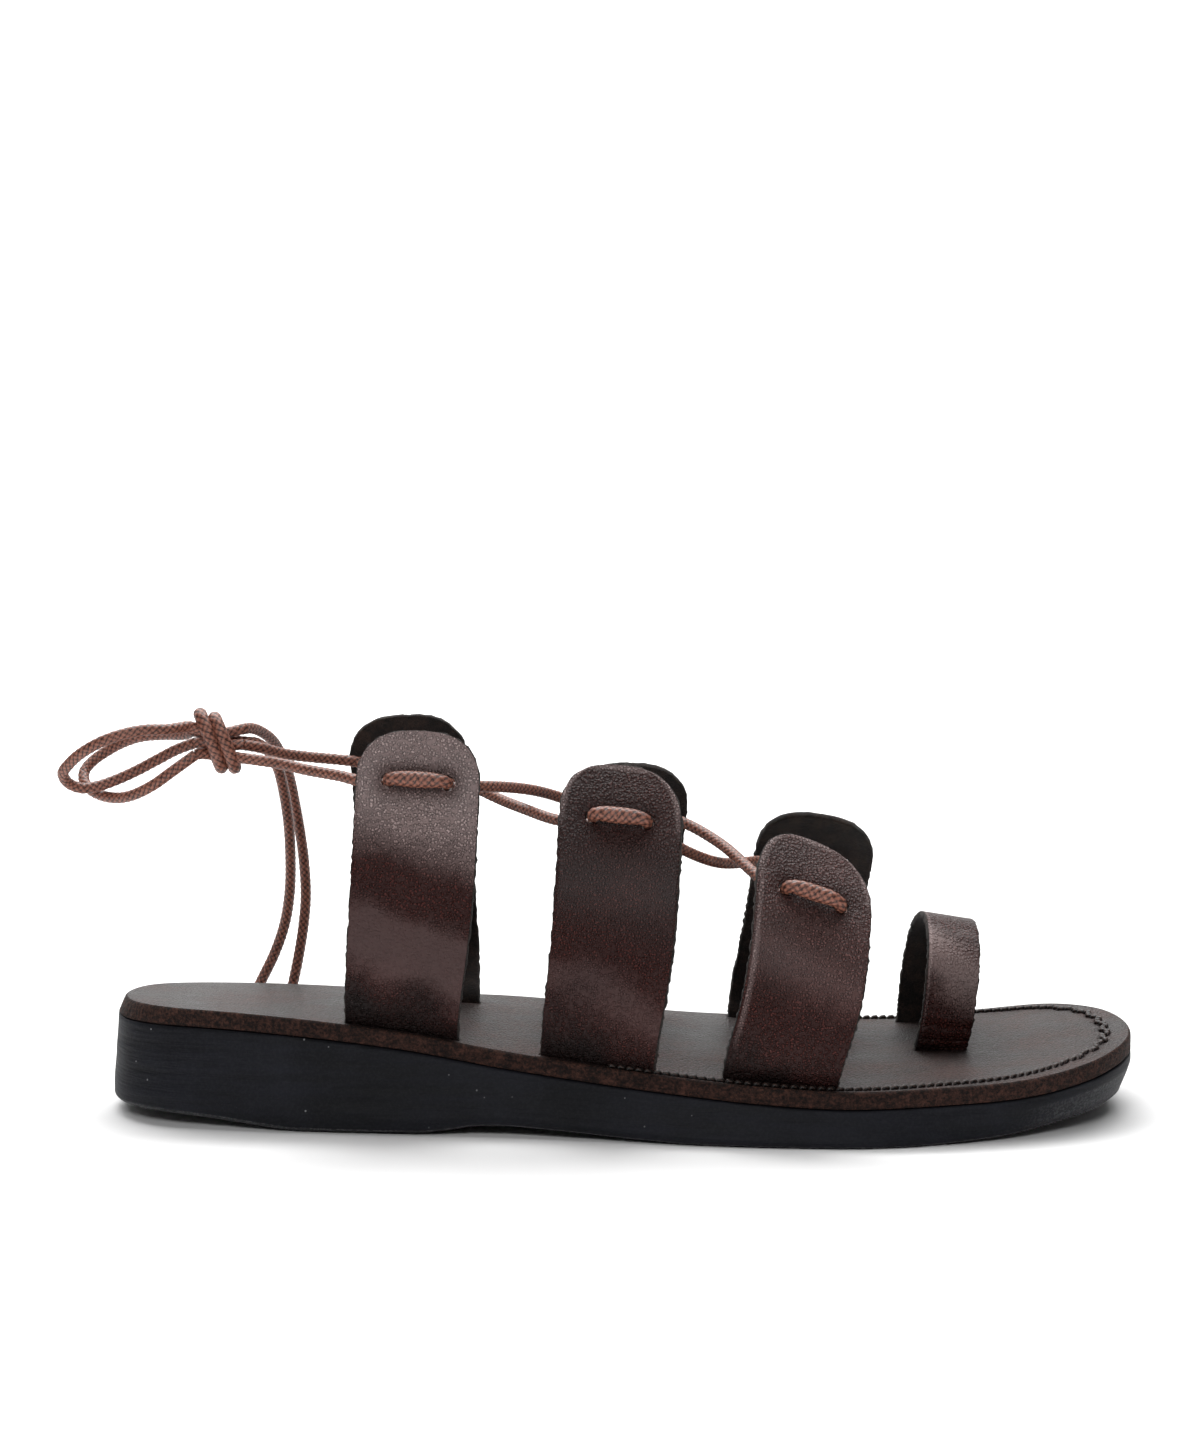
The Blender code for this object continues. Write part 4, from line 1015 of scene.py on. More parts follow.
@dataclass
class Outsole:
    """The moulded rubber sole: heel, arch, flared side and bevelled toe."""

    form: SoleForm
    outline_steps: int = 16
    levels: int = 22
    low_levels: int = 8
    ripple: float = 0.035 * MM

    def build(self, material: bpy.types.Material) -> bpy.types.Object:
        """Make the sole from rings down its side, closed above and below.

        Args:
            material: the rubber.

        Returns:
            The piece.
        """
        form = self.form
        ring = form.outline(self.outline_steps)
        normal = form.outward(ring)
        x, y = ring[:, 0], ring[:, 1]
        along = form.along(x)
        lean = form.lean(x)
        top = form.top(x, y) - form.insole - form.gap
        under = form.under(x, y)
        flare = UNDERSIDE.at("flare", along) * form.flare
        toe = UNDERSIDE.at("bevel", along)
        rings = []
        for down in np.r_[np.linspace(0, 0.9, self.levels), np.linspace(0.92, 1.0, self.low_levels)]:
            out = lean + float(WALL.at("flare", down)) * flare * (1 - toe)
            out = out - float(WALL.at("bevel", down)) * toe * form.bevel
            spot = ring + normal * out[:, None]
            z = top + (under - top) * down
            wave = ripple(np.column_stack([spot * 0.12, z]), 2.4 * MM, 11) * self.ripple
            rings.append(np.column_stack([spot + normal * wave[:, None], z]))
        count = len(ring)
        points = np.concatenate(rings)
        walls = grid_faces(len(rings), count, True)[:, ::-1]
        sunk = form.insole + form.gap
        points, lid = close_ring(points, 0, count, 8, lambda a, b: form.top(a, b) - sunk, True)
        points, floor = close_ring(points, (len(rings) - 1) * count, count, 24, form.under, False)
        return build_mesh("outsole_rubber", points, [walls, *lid, *floor], [material])


@dataclass
class Band:
    """A leather band of even thickness laid on a grid of middle points."""

    thickness: float = 2.0 * MM
    rim: float = 0.36 * MM
    rough: float = 0.24 * MM

    def build(self, name: str, middle: Array, up: Array, materials: list[bpy.types.Material],
              seed: int) -> bpy.types.Object:
        """Make the band: grain face, suede back and a rounded raw rim.

        The faces stand half the thickness off the middle, along the grid's
        normals, and three more loops carry the rim out and round.

        Args:
            name: the piece's name.
            middle: rows by columns of points; its normals look to the grain side.
            up: each row's height along the band, 0 to 1, kept in the UV map.
            materials: grain, rim and suede.
            seed: picks the rim's unevenness.

        Returns:
            The piece.
        """
        rows, columns = middle.shape[:2]
        normal = grid_normals(middle)
        half = self.thickness / 2
        index = np.arange(rows * columns).reshape(rows, columns)
        loop = np.concatenate([index[0, :], index[1:, -1], index[-1, -2::-1], index[-2:0:-1, 0]])
        flat = middle.reshape(-1, 3)
        edge, edge_normal = flat[loop], normal.reshape(-1, 3)[loop]
        out = unit(np.cross(ahead_round(edge), edge_normal))
        if np.sum(out * (edge - flat.mean(axis=0))) < 0:
            out = -out
        ragged = ripple(edge, 0.9 * MM, seed)[:, None] * self.rough
        rings = []
        for out_share, across in ((0.72, 0.72), (1.0, 0.0), (0.72, -0.72)):
            spot = edge + out * (self.rim * out_share) + edge_normal * half * across
            fuzz = ripple(spot, 0.55 * MM, seed + 3)[:, None] * self.rough * 0.7
            rings.append(spot + out * (ragged + fuzz) * out_share)
        front = flat + normal.reshape(-1, 3) * half
        back = flat - normal.reshape(-1, 3) * half
        size, count = rows * columns, len(loop)
        spans = np.meshgrid(np.linspace(0, 1, columns), np.reshape(up, -1))
        uv = np.stack(spans, axis=-1).reshape(-1, 2)
        uv = np.concatenate([uv, uv, uv[loop], uv[loop], uv[loop]])
        points = np.concatenate([front, back, *rings])
        face = grid_faces(rows, columns)
        chain = [loop] + [2 * size + k * count + np.arange(count) for k in range(3)] + [size + loop]
        rims = []
        for a, b in zip(chain, chain[1:]):
            rims.append(np.stack([a, b, np.roll(b, -1), np.roll(a, -1)], axis=-1))
        side = np.concatenate(rims)
        groups = [face[:, ::-1], side[:, ::-1], face + size]
        return build_mesh(name, points, groups, materials, [0, 1, 2], uv)


@dataclass
class InstepStrap:
    """One half of an instep strap, from its slot to its rounded laced tab."""

    form: SoleForm
    name: str
    side: Side
    along: float
    inset: float
    top: float
    bulge: float
    reach: float
    lean: float
    widen: float
    tilt: float
    spread: float
    width: float = 28.5 * MM
    foot: float = 3.6 * MM
    tab: float = 12.0 * MM
    drop: float = 12.2 * MM
    square: float = 0.75
    rows: int = 84
    columns: int = 36
    eyelet: float = 2.0 * MM
    standoff: float = 2.85 * MM
    dent: float = 0.75 * MM
    dent_width: float = 3.0 * MM
    press_width: float = 3.9 * MM
    wave: float = 0.16 * MM
    wave_length: float = 26 * MM

    def foot_line(self, sideways: Array) -> Array:
        """Y of the slot, straight between two places beside the edge."""
        half = self.width / 2 / self.form.length
        rear = self.form.edge(self.side, self.along - half, self.inset)
        front = self.form.edge(self.side, self.along + half, self.inset)
        return rear + (front - rear) * (np.asarray(sideways) + 1) / 2

    def surface(self, sideways: Array, up: Array) -> Array:
        """Give points of the strap's middle surface.

        Args:
            sideways: -1 at the rear edge to 1 at the front edge.
            up: 0 at the leather to 1 at the tab's top.

        Returns:
            Points, with a last axis of three.
        """
        sideways, up = np.broadcast_arrays(np.asarray(sideways, dtype=float), np.asarray(up, dtype=float))
        above = np.maximum(up, 0.0)
        centre = self.form.at_along(self.along)
        foot_x = centre + sideways * self.width / 2
        foot_y = self.foot_line(sideways)
        foot_z = self.form.top(foot_x, foot_y)
        half = (self.width + STRAP.at("widen", above) * self.widen) / 2
        x = centre + STRAP.at("lean", above) * self.lean + sideways * half
        out = STRAP.at("bulge", above) * self.bulge - STRAP.at("reach", above) * self.reach
        y = foot_y + self.side.value * out
        z = foot_z + above * (self.top + sideways * self.tilt - foot_z)
        return np.stack([x, y, z], axis=-1)

    def rise(self) -> float:
        """Height of the tab over the leather."""
        return self.top - float(self.form.top(self.form.at_along(self.along), 0.0))

    def eyelet_place(self, way: Way) -> tuple[Array, Array]:
        """Give an eyelet's centre and the direction out through it."""
        up = 1 - self.drop / self.rise()
        sideways = way.value * self.spread / (self.width + self.widen)
        centre = self.surface(sideways, up)
        beside, above = self.surface(sideways + 0.05, up), self.surface(sideways, up + 0.02)
        across = unit(np.cross(beside - centre, above - centre))
        return centre, across * (1.0 if across[1] * self.side.value > 0 else -1.0)

    def eyelets(self, first: Way = Way.REAR) -> tuple[Array, Array, Array, Array]:
        """Give both eyelets' centres and directions, starting with one end's."""
        last = Way.FRONT if first is Way.REAR else Way.REAR
        return *self.eyelet_place(first), *self.eyelet_place(last)

    def levels(self) -> Array:
        """Heights of the grid's rows, 0 to 1, the first one standing for the sunk foot."""
        round_from = 1 - self.tab / self.rise()
        straight = np.linspace(0.0, round_from, self.rows - len(TAB_ANGLES))
        return np.r_[0.0, straight, round_from + (1 - round_from) * np.sin(TAB_ANGLES) ** 0.9]

    def middle(self) -> Array:
        """Lay out the middle surface, pressed in a little under the lace's bar.

        Rows run up the strap; above the straight part their width follows
        cos(angle) to a power, for a squarish round end.

        Returns:
            Rows by columns of points.
        """
        up = self.levels()
        share = np.r_[np.ones(len(up) - len(TAB_ANGLES)), np.cos(TAB_ANGLES) ** self.square]
        trim = 1 - 2 * Band.rim / self.width
        sideways = np.linspace(-1, 1, self.columns)[None, :] * share[:, None] * trim
        grid = self.surface(sideways, np.repeat(up[:, None], self.columns, axis=1))
        grid[0, :, 2] -= self.foot
        _, near_way, _, far_way = self.eyelets()
        dent = np.exp(-(self.bar_distance(grid) / self.dent_width) ** 2) * self.dent
        wave = ripple(grid, self.wave_length, 40 + int(self.along * 100)) * self.wave
        share_up = np.clip(up / 0.2, 0, 1)[:, None]
        return grid - (near_way + far_way) / 2 * ((dent - wave) * share_up)[..., None]

    def build(self, materials: list[bpy.types.Material], seed: int) -> bpy.types.Object:
        """Make the strap and punch its eyelets.

        Args:
            materials: grain, rim and suede.
            seed: picks the rim's unevenness.

        Returns:
            The piece.
        """
        grid = self.middle()
        if self.side is Side.INNER:
            grid = grid[:, ::-1]
        thing = Band().build(self.name + "_leather", grid, self.levels(), materials, seed)
        spots = np.empty(len(thing.data.vertices) * 3)
        thing.data.vertices.foreach_get("co", spots)
        away = self.bar_distance(spots.reshape(-1, 3))
        set_crown(thing, np.exp(-(away / self.press_width) ** 2))
        cut_away(thing, [self.drill(way) for way in Way])
        return thing

    def drill(self, way: Way) -> bpy.types.Object:
        """Make the round cutter of one eyelet."""
        centre, across = self.eyelet_place(way)
        length = 5.0 * MM
        path = centre[None] + across[None] * np.linspace(-length, length, 2)[:, None]
        points, faces = tube(path, np.full((2, 24), self.eyelet), closed=False)
        return build_mesh(f"{self.name}_drill_{way.value}", points, faces, [])

    def bar_distance(self, spots: Array) -> Array:
        """Distance of spots from the line between the eyelets."""
        rear, _, front, _ = self.eyelets()
        bar = front - rear
        share = np.clip((spots - rear) @ bar / (bar @ bar), 0, 1)
        return np.linalg.norm(spots - rear - share[..., None] * bar, axis=-1)

    def bar_middle(self) -> Array:
        """Middle of the lace's bar, outside the tab."""
        rear, rear_way, front, front_way = self.eyelets()
        return (rear + front) / 2 + (rear_way + front_way) / 2 * self.standoff * 1.02

    def pass_lace(self, first: Way) -> list[Array]:
        """Places of the lace through the tab: in by one eyelet, outside, out by the other."""
        near, near_way, far, far_way = self.eyelets(first)
        ahead = unit(far - near)
        steps = [(-1.35, 0.0), (0.0, 0.0), (0.62, 0.16), (self.standoff / LACE_DIAMETER, 0.75)]
        leg = [LACE_DIAMETER * np.array(step) for step in steps]
        entry = [near + near_way * out + ahead * on for out, on in leg]
        leave = [far + far_way * out - ahead * on for out, on in leg[::-1]]
        return [*entry, self.bar_middle(), *leave]


def tube(path: Array, radius: Array, closed: bool) -> tuple[Array, list[Array]]:
    """Carry a round profile along a path, without twist.

    A fixed axis gives each point a first frame, and the turn between two such
    frames is summed up and taken back, so the profile keeps its roll.

    Args:
        path: the centre line.
        radius: path points by sides, the distance of each vertex from the line.
        closed: whether the path is a ring.

    Returns:
        The points and the groups of faces, with fans at open ends.
    """
    count, sides = radius.shape
    ahead = ahead_round(path) if closed else unit(np.gradient(path, axis=0))
    axis = unit(np.array([0.31, 0.27, 0.91]))
    first = unit(axis - (ahead @ axis)[:, None] * ahead)
    second = np.cross(ahead, first)
    carried = first[:-1] - np.sum(first[:-1] * ahead[1:], axis=1)[:, None] * ahead[1:]
    turn = np.arctan2(np.sum(carried * second[1:], axis=1), np.sum(carried * first[1:], axis=1))
    roll = np.r_[0, np.cumsum(turn)]
    if closed:
        back = first[-1] - (first[-1] @ ahead[0]) * ahead[0]
        rest = roll[-1] + math.atan2(back @ second[0], back @ first[0])
        rest = (rest + math.pi) % TURN - math.pi
        roll = roll - rest * np.arange(count) / count
    angle = roll[:, None] + angles(sides)[None, :]
    off = first[:, None, :] * np.cos(angle)[..., None] + second[:, None, :] * np.sin(angle)[..., None]
    points = (path[:, None, :] + off * radius[..., None]).reshape(-1, 3)
    faces = [grid_faces(count, sides, True)]
    if closed:
        last = (count - 1) * sides + np.arange(sides)
        lead = np.arange(sides)
        faces.append(np.stack([last, np.roll(last, -1), np.roll(lead, -1), lead], axis=-1))
        return points, faces
    ends = []
    for start, flip in ((0, True), ((count - 1) * sides, False)):
        fan = np.arange(sides)
        centre = len(points) + len(ends)
        pair = np.stack([start + fan, start + np.roll(fan, -1), np.full(sides, centre)], axis=-1)
        ends.append(pair[:, ::-1] if flip else pair)
    points = np.concatenate([points, path[:1], path[-1:]])
    return points, faces + ends


@dataclass
class Cord:
    """Braided waxed cord of round section, with its strands raised."""

    diameter: float = 3.0 * MM
    carriers: int = 6
    lay: float = 1.75 * MM
    relief: float = 0.26 * MM
    swell: float = 0.40
    swell_reach: float = 5.8 * MM
    tip: float = 1.6 * MM
    step: float = 0.27 * MM
    sides: int = 28

    def braid(self, length: float, count: int) -> Array:
        """Give the strands' height: two families of helices that pass over and under.

        Args:
            length: the cord's length.
            count: points along it.

        Returns:
            Heights between 0 and 1, points by sides.
        """
        along = np.linspace(0, length, count)[:, None] / self.lay
        around = np.arange(self.sides)[None, :] / self.sides * self.carriers
        a, b = along + around, along - around
        over = (np.floor(a) + np.floor(b)) % 2 < 1
        share_a, share_b = a % 1.0, b % 1.0
        across = np.where(over, share_a, share_b)
        lengthwise = np.where(over, share_b, share_a)
        crown = np.sin(math.pi * across) ** 0.6
        arch = 0.72 + 0.28 * np.sin(math.pi * lengthwise)
        return crown * arch

    def build(self, name: str, line: Array, material: bpy.types.Material,
              closed: bool = False, tips: bool = False, bars: list[Array] | None = None) -> bpy.types.Object:
        """Lay the cord along a smooth line.

        Args:
            name: the piece's name.
            line: close places of its centre line, in metres.
            material: its finish.
            closed: whether it is a ring.
            tips: whether its last millimetres draw in to a rounded end.
            bars: middles of the bars, where the cord lies loose and thicker.

        Returns:
            The piece, with its braid's height as the attribute crown.
        """
        line = even_path(line, self.step, closed)
        length = float(spans(line).sum())
        crown = self.braid(length, len(line))
        radius = self.diameter / 2 - self.relief * (1 - crown)
        if bars is not None:
            away = np.min([np.linalg.norm(line - middle, axis=1) for middle in bars], axis=0)
            radius = radius * (1 + self.swell * np.exp(-(away / self.swell_reach) ** 3))[:, None]
        if tips:
            left = np.linspace(length, 0, len(line))[:, None]
            radius = radius * np.sqrt(np.clip(left / self.tip, 0.02, 1))
        points, faces = tube(line, radius, closed)
        thing = build_mesh(name, points, [f[:, ::-1] for f in faces], [material])
        extra = len(points) - crown.size
        set_crown(thing, np.r_[crown.ravel(), np.full(extra, 0.5)])
        thing["line_length"] = length
        return thing


@dataclass
class ToeLoop:
    """The narrow strap that arches over the big toe's place."""

    form: SoleForm
    along: float = 0.8097
    near: float = -2.0 * MM
    span: float = 41.5 * MM
    rise: float = 31.5 * MM
    lean: float = 4.0 * MM
    tilt: float = 1.5 * MM
    width: float = 13.8 * MM
    foot: float = 3.6 * MM
    fold: float = 0.28 * MM
    fold_row: float = 1.9
    wave: float = 0.18 * MM
    rows: int = 150
    columns: int = 22

    def surface(self, sideways: Array, row: Array) -> Array:
        """Give points of the loop's middle surface.

        Args:
            sideways: -1 at the rear edge to 1 at the front edge.
            row: places in the loop's table, near foot to far foot.

        Returns:
            Points, with a last axis of three.
        """
        x = self.form.at_along(self.along) + sideways * self.width / 2
        y = self.near + LOOP.at("across", row) * self.span
        z = self.form.top(x, y) + LOOP.at("up", row) * (self.rise - sideways * self.tilt)
        return np.stack([x + LOOP.at("lean", row) * self.lean, y, z], axis=-1)

    def build(self, materials: list[bpy.types.Material]) -> bpy.types.Object:
        """Make the loop, with folds where its near leg meets the leather.

        Args:
            materials: grain, rim and suede.

        Returns:
            The piece.
        """
        last = LOOP.rows[-1, 0]
        row = np.r_[0.0, np.linspace(0.0, last, self.rows), last][:, None]
        trim = 1 - 2 * Band.rim / self.width
        sideways = np.linspace(-1, 1, self.columns)[None, :] * trim
        sideways, row = np.broadcast_arrays(sideways, row)
        grid = self.surface(sideways, row)
        grid[[0, -1], :, 2] -= self.foot
        zone = np.exp(-((row - self.fold_row) / 0.75) ** 2)
        folds = np.sin(row * 9.5 + sideways * 1.1) * self.fold * zone
        wave = ripple(grid, 15 * MM, 77) * self.wave * np.clip(row, 0, 1) * np.clip(last - row, 0, 1)
        grid = grid + grid_normals(grid) * (folds + wave)[..., None]
        return Band().build("toe_loop_leather", grid, row[:, 0] / last, materials, 90)


@dataclass
class Bow:
    """The knot behind the straps: two slanted wraps round the cords that meet in it."""

    cord: Cord
    middle: tuple = (-0.1043, 0.0, 0.0940)
    slant: float = 14.0
    heights: tuple = (7.3 * MM, 6.8 * MM)
    half_depth: float = 4.6 * MM
    wraps: tuple = (-1.70 * MM, 1.65 * MM)
    drops: tuple = (1.1 * MM, -0.3 * MM)
    lean: float = 0.9 * MM
    thicker: float = 1.18

    def wrap_line(self, place: float, drop: float, height: float) -> Array:
        """Run a slanted ring round the knot's strands.

        The ring is an ellipse whose top leans back and whose near side bows forward.

        Args:
            place: its distance from the knot's middle, along the axis.
            drop: how far it stands over the middle.
            height: half of its height.

        Returns:
            Points of the ring.
        """
        turn = math.radians(self.slant)
        axis = np.array([math.cos(turn), 0.0, math.sin(turn)])
        upward = np.array([-math.sin(turn), 0.0, math.cos(turn)])
        angle = angles(16)[:, None]
        centre = np.array(self.middle) + axis * place + upward * drop
        lean = -np.sin(angle) * self.lean - np.cos(angle) * self.lean
        ring = (centre + axis * lean + np.array([[0.0, 1.0, 0.0]]) * np.cos(angle) * self.half_depth
                + upward * np.sin(angle) * height)
        return smooth_path(ring, 12, closed=True)

    def strand_lines(self) -> list[Array]:
        """Join the loops' four ends to the hanging ends and the lace, inside the wraps.

        Returns:
            One line for each cord in the knot, tangent to the cords that it joins.
        """
        pairs = [
            (LOOP_1_ROUTE[:2], (-1.2, 2.6), END_1_ROUTE[:2]),
            (LOOP_2_ROUTE[:2], (1.2, 1.2), END_2_ROUTE[:2]),
            (LOOP_1_ROUTE[:-3:-1], (-0.8, -0.6), KNOT_FROM_INNER[:-3:-1]),
            (LOOP_2_ROUTE[:-3:-1], (-1.2, -3.0), KNOT_FROM_OUTER[:-3:-1]),
        ]
        steps = 14
        lines = []
        for (start, before), (aside, lift), (end, after) in pairs:
            middle = (self.middle[0] / MM, aside, self.middle[2] / MM + lift)
            path = smooth_path(np.array([before, start, middle, end, after]) * MM, steps)
            lines.append(path[steps:-steps])
        return lines

    def build(self, material: bpy.types.Material) -> bpy.types.Object:
        """Make the knot.

        Args:
            material: the cord's finish.

        Returns:
            One mesh of two wraps and four strands.
        """
        things = []
        loose = replace(self.cord, diameter=self.cord.diameter * self.thicker)
        for number, (place, drop, height) in enumerate(zip(self.wraps, self.drops, self.heights)):
            line = self.wrap_line(place, drop, height)
            things.append(loose.build(f"wrap_{number}", line, material, closed=True))
        for number, line in enumerate(self.strand_lines()):
            things.append(self.cord.build(f"strand_{number}", line, material))
        return join("lace_knot_braid", things)


def join(name: str, things: list[bpy.types.Object]) -> bpy.types.Object:
    """Join meshes into one object.

    Args:
        name: the new piece's name.
        things: the meshes to join.

    Returns:
        The joined piece.
    """
    with bpy.context.temp_override(active_object=things[0], selected_editable_objects=things):
        bpy.ops.object.join()
    things[0].name = name
    return things[0]


@dataclass
class Studio:
    """Camera, floor and soft lights."""

    camera_x: float = -6.0 * MM
    camera_y: float = -700.0 * MM
    camera_z: float = 160.0 * MM
    pitch: float = 4.9
    focal_px: float = 2731.0
    image_height: float = 1440.0

    def add_camera(self) -> None:
        """Place the camera as the photograph has it."""
        data = bpy.data.cameras.new("camera")
        data.sensor_fit = "VERTICAL"
        data.sensor_height = 36.0
        data.lens = self.focal_px / self.image_height * data.sensor_height
        data.clip_start = 0.01
        data.clip_end = 50.0
        thing = bpy.data.objects.new("camera", data)
        thing.location = (self.camera_x, self.camera_y, self.camera_z)
        thing.rotation_euler = (math.radians(90 - self.pitch), 0.0, 0.0)
        bpy.context.scene.collection.objects.link(thing)
        bpy.context.scene.camera = thing

    def add_floor(self, material: bpy.types.Material) -> None:
        """Lay the pale floor, which sweeps up far behind in a quarter circle."""
        flat, radius, top, wide = 1.5, 1.0, 3.0, 4.0
        turn = np.radians(np.linspace(0, 90, 25))
        profile = np.concatenate([
            [(-4.0, 0.0)],
            np.stack([flat + radius * np.sin(turn), radius * (1 - np.cos(turn))], axis=1),
            [(flat + radius, top)],
        ])
        rows = len(profile)
        x = np.repeat(np.array([[wide, -wide]]), rows, axis=0)
        points = np.stack([x, *np.repeat(profile.T[:, :, None], 2, axis=2)], axis=-1).reshape(-1, 3)
        floor = build_mesh("floor", points, [grid_faces(rows, 2)], [material])

    def add_light(self, name: str, place: tuple, aim: tuple, size: tuple, power: float) -> None:
        """Hang one rectangular soft light.

        Args:
            name: the light's name.
            place: where it hangs.
            aim: where it points.
            size: its width and height.
            power: its watts.
        """
        data = bpy.data.lights.new(name, "AREA")
        data.shape = "RECTANGLE"
        data.size, data.size_y = size
        data.energy = power
        thing = bpy.data.objects.new(name, data)
        way = np.array(aim) - np.array(place)
        thing.rotation_euler = Vector(way).to_track_quat("-Z", "Y").to_euler()
        thing.location = place
        bpy.context.scene.collection.objects.link(thing)

    def light(self) -> None:
        """Add the soft boxes and an even pale world."""
        self.add_light("key_box", (-0.15, -0.86, 0.63), (-0.03, 0.0, 0.07), (0.55, 0.26), 3.3)
        self.add_light("top_box", (0.05, 0.34, 1.15), (0.0, 0.05, 0.0), (1.5, 0.8), 13.0)
        self.add_light("rear_box", (-0.5, 1.2, 1.7), (-0.4, 1.9, 0.2), (2.6, 1.2), 70.0)
        world = bpy.data.worlds.new("world")
        world.use_nodes = True
        back = world.node_tree.nodes["Background"]
        back.inputs["Color"].default_value = (1.0, 1.0, 1.0, 1.0)
        back.inputs["Strength"].default_value = 0.07
        bpy.context.scene.world = world
        bpy.context.scene.view_settings.view_transform = "Standard"


STRAP_SIZES = {
    "strap_1_outer": (Side.OUTER, 0.2811, 3.6, 98.8, 6.0, 7.0, 4.5, 2.6, -0.6, 14.6),
    "strap_1_inner": (Side.INNER, 0.2933, 12.0, 99.2, 12.0, -3.0, -5.0, 3.0, 0.4, 15.0),
    "strap_2_outer": (Side.OUTER, 0.4690, 3.6, 89.6, 5.0, 17.0, 6.0, 2.2, -1.2, 13.4),
    "strap_2_inner": (Side.INNER, 0.4735, 8.0, 86.8, 8.0, 11.0, 7.8, 2.4, -0.8, 14.0),
    "strap_3_outer": (Side.OUTER, 0.6406, 5.0, 70.6, 4.0, 20.5, 9.5, 0.0, -5.8, 13.4),
    "strap_3_inner": (Side.INNER, 0.6598, 4.2, 72.4, 4.5, 18.5, 9.5, 3.6, -2.6, 15.0),
}


def millimetres(places: list[tuple]) -> list[Array]:
    """Turn places in millimetres into points in metres."""
    return [np.array(place, dtype=float) * MM for place in places]


def make_straps(form: SoleForm) -> dict[str, InstepStrap]:
    """Make the six strap halves from their sizes in millimetres.

    Args:
        form: the sole that they stand in.

    Returns:
        The straps by name.
    """
    straps = {}
    for name, (side, along, *sizes) in STRAP_SIZES.items():
        straps[name] = InstepStrap(form, name, side, along, *[size * MM for size in sizes])
    return straps


def slot_cutter(name: str, rear: Array, front: Array) -> bpy.types.Object:
    """Make the cutter of a strap's slot, between the two ends of its foot line."""
    ahead = unit(front - rear)
    aside = np.array([-ahead[1], ahead[0]])
    reach = np.linalg.norm(front - rear) / 2 + 0.2 * MM
    wide = 1.2 * MM
    middle = (front + rear) / 2
    corners = []
    for z in (-5 * MM, 60 * MM):
        for a, b in ((-1, -1), (1, -1), (1, 1), (-1, 1)):
            spot = middle + ahead * a * reach + aside * b * wide
            corners.append((spot[0], spot[1], z))
    faces = np.array([[3, 2, 1, 0], [4, 5, 6, 7], [0, 1, 5, 4], [1, 2, 6, 5], [2, 3, 7, 6], [3, 0, 4, 7]])
    return build_mesh(name, np.array(corners), [faces], [])


def lace_route(straps: dict[str, InstepStrap]) -> list[Array]:
    """Run the lace from the knot through all twelve eyelets and back to the knot."""
    route = millimetres(KNOT_FROM_INNER)[::-1]
    route += straps["strap_1_inner"].pass_lace(Way.REAR)
    route += millimetres(REAR_CROSSING_LOW)
    route += straps["strap_2_outer"].pass_lace(Way.REAR)
    route += millimetres(FRONT_CROSSING_LOW)
    route += straps["strap_3_inner"].pass_lace(Way.REAR)
    route += millimetres(FRONT_BRIDGE)[::-1]
    route += straps["strap_3_outer"].pass_lace(Way.FRONT)
    route += millimetres(FRONT_CROSSING_HIGH)
    route += straps["strap_2_inner"].pass_lace(Way.FRONT)
    route += millimetres(REAR_CROSSING_HIGH)
    route += straps["strap_1_outer"].pass_lace(Way.FRONT)
    return route + millimetres(KNOT_FROM_OUTER)


def declare_cord(thing: bpy.types.Object, route: list[tuple], far_end: str, lay: str) -> None:
    """Smooth a free cord's route and space its points every 4 mm; the result is not kept.

    Args:
        thing: not used.
        route: its places in millimetres.
        far_end: not used.
        lay: not used.
    """
    path = even_path(smooth_path(millimetres(route)), 4 * MM)


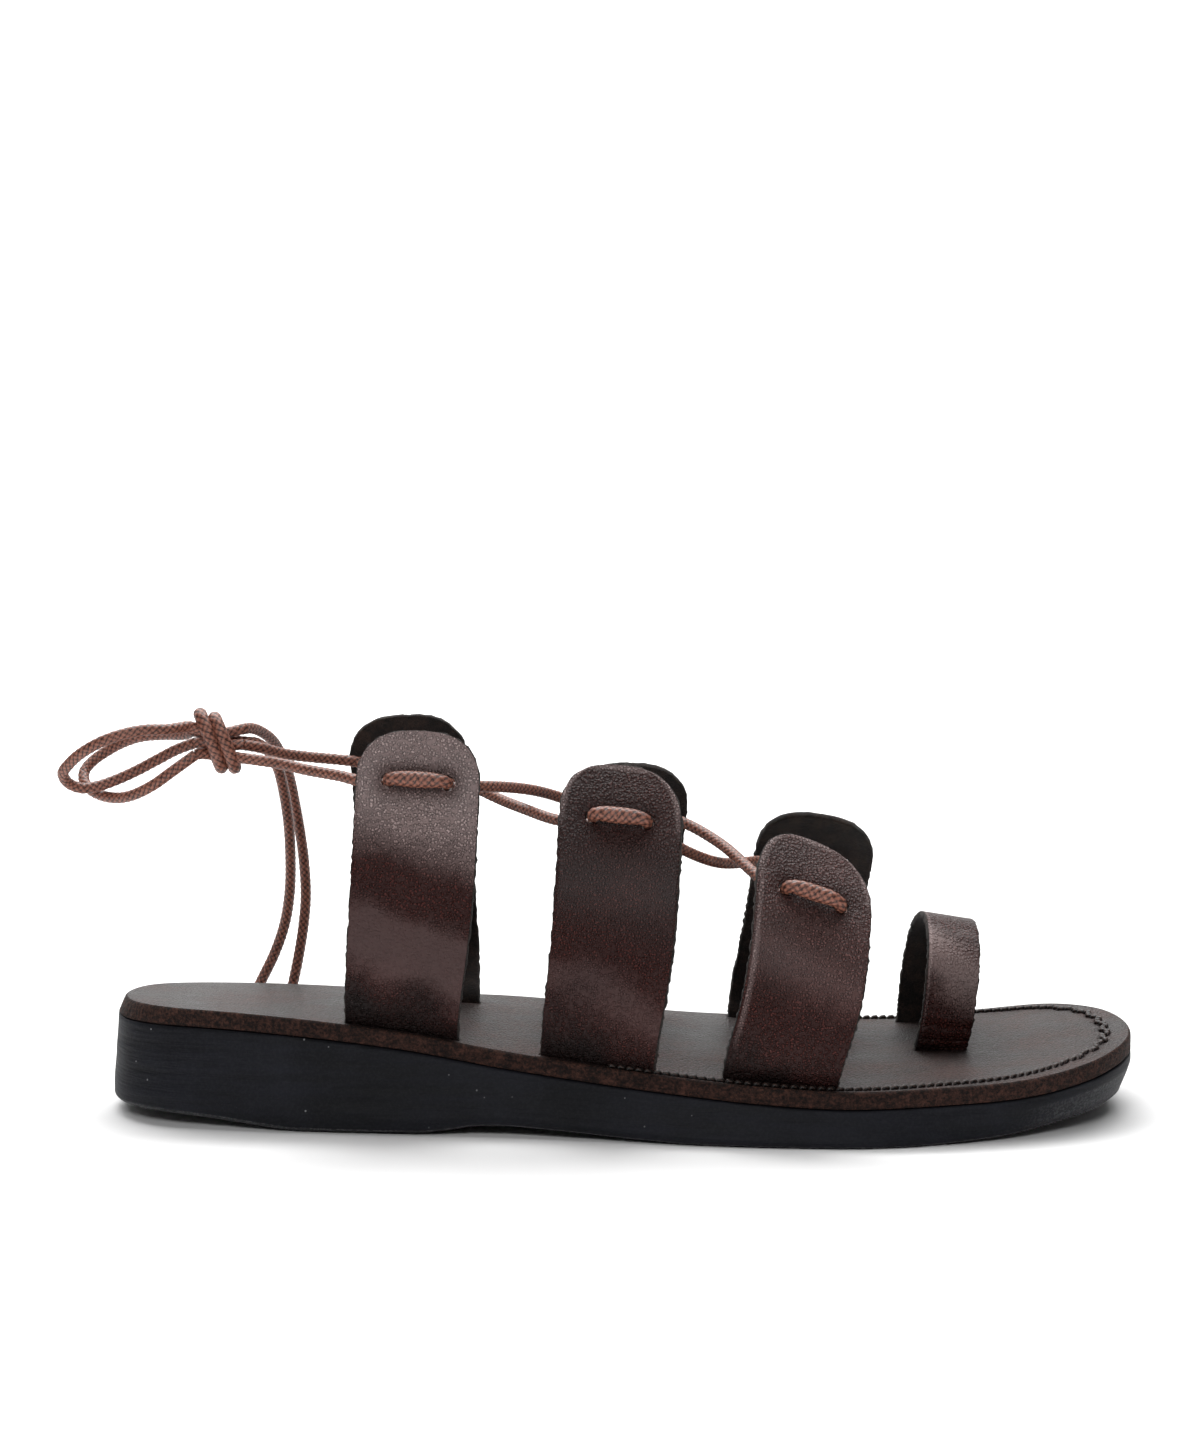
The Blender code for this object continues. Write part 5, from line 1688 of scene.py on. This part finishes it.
def main() -> None:
    """Build and dress the sandal, then its stage."""
    logging.basicConfig(level=logging.INFO, format="%(name)s %(message)s")
    studio = Studio()
    studio.add_camera()
    form = SoleForm()
    cord = Cord()
    waxed = WaxedCord().make()
    routes = {
        "lace_loop_1": (LOOP_1_ROUTE, "knot", "loose"),
        "lace_loop_2": (LOOP_2_ROUTE, "knot", "loose"),
        "lace_end_1": (END_1_ROUTE, "bare", "hanging"),
        "lace_end_2": (END_2_ROUTE, "bare", "hanging"),
    }
    for node, (route, far_end, lay) in routes.items():
        line = smooth_path(millimetres(route))
        piece = cord.build(node + "_braid", line, waxed, tips=far_end == "bare")
        settle(piece, "lace_cord", node)
        declare_cord(piece, route, far_end, lay)
    straps = make_straps(form)
    bars = [strap.bar_middle() for strap in straps.values()]
    lace = cord.build("lace_braid", smooth_path(lace_route(straps)), waxed, bars=bars)
    settle(lace, "lace_cord", "lace")
    settle(Bow(cord).build(waxed), "lace_cord", "lace_knot")

    flesh = [FleshLeather("strap_rim", pale=(0.050, 0.028, 0.019)).make(), FleshLeather().make()]
    # Each strap has its own heights for the painted sheen, the red band and the painted reflection.
    grains = [
        GrainLeather("strap_1_grain", sheen=(0.54, 0.74, 0.80), band=(0.43, 0.58),
                     painted_reflection=(0.10, 0.44, 0.80)).make(),
        GrainLeather("strap_2_grain", sheen=(0.30, 0.95, 0.04), band=(0.32, 0.44),
                     painted_reflection=(0.12, 0.36, 0.65)).make(),
        GrainLeather("strap_3_grain", dark=(0.062, 0.0190, 0.0160), warm=(0.125, 0.0380, 0.0320), edge=0.40,
                     sheen=(0.30, 0.60, 0.10), band=(0.16, 0.30), painted_reflection=(0.34, 0.62, 0.40)).make(),
    ]
    cutters = []
    for seed, (name, strap) in enumerate(straps.items()):
        grain = grains[int(name.split("_")[1]) - 1]
        settle(strap.build([grain, *flesh], 100 + seed * 7), "strap_leather", name)
        ends = [strap.surface(way, 0.0)[:2] for way in (-1.0, 1.0)]
        cutters.append(slot_cutter(name + "_slot", *ends))
    loop = ToeLoop(form)
    # The toe loop's pale grey zone on the upper part of its near leg is a painted highlight.
    grain = GrainLeather("toe_loop_grain", edge=0.35, reflection_color=(0.30, 0.23, 0.22), sheen=(0.30, 0.50, 0.05),
                         band=(0.12, 0.22), painted_reflection=(0.20, 0.46, 0.65))
    settle(loop.build([grain.make(), *flesh]), "strap_leather", "toe_loop")
    for number, row in enumerate(LOOP.rows[[0, -1], 0]):
        ends = [loop.surface(np.array(way), row)[:2] for way in (-1.0, 1.0)]
        cutters.append(slot_cutter(f"toe_slot_{number}", *ends))

    insole = Insole(form)
    leather = insole.build(FootbedLeather().make(), RawEdge().make())
    cut_away(leather, cutters)
    settle(leather, "footbed_leather", "insole")
    thread = WaxedCord("stitch_thread", (0.0045, 0.0028, 0.0024), (0.060, 0.030, 0.022), 0.45)
    settle(Stitching(insole).build(thread.make()), "footbed_leather")
    settle(Outsole(form).build(SoleRubber().make()), "rubber", "outsole")

    studio.add_floor(Paper().make())
    studio.light()


if __name__ == "__main__":
    main()
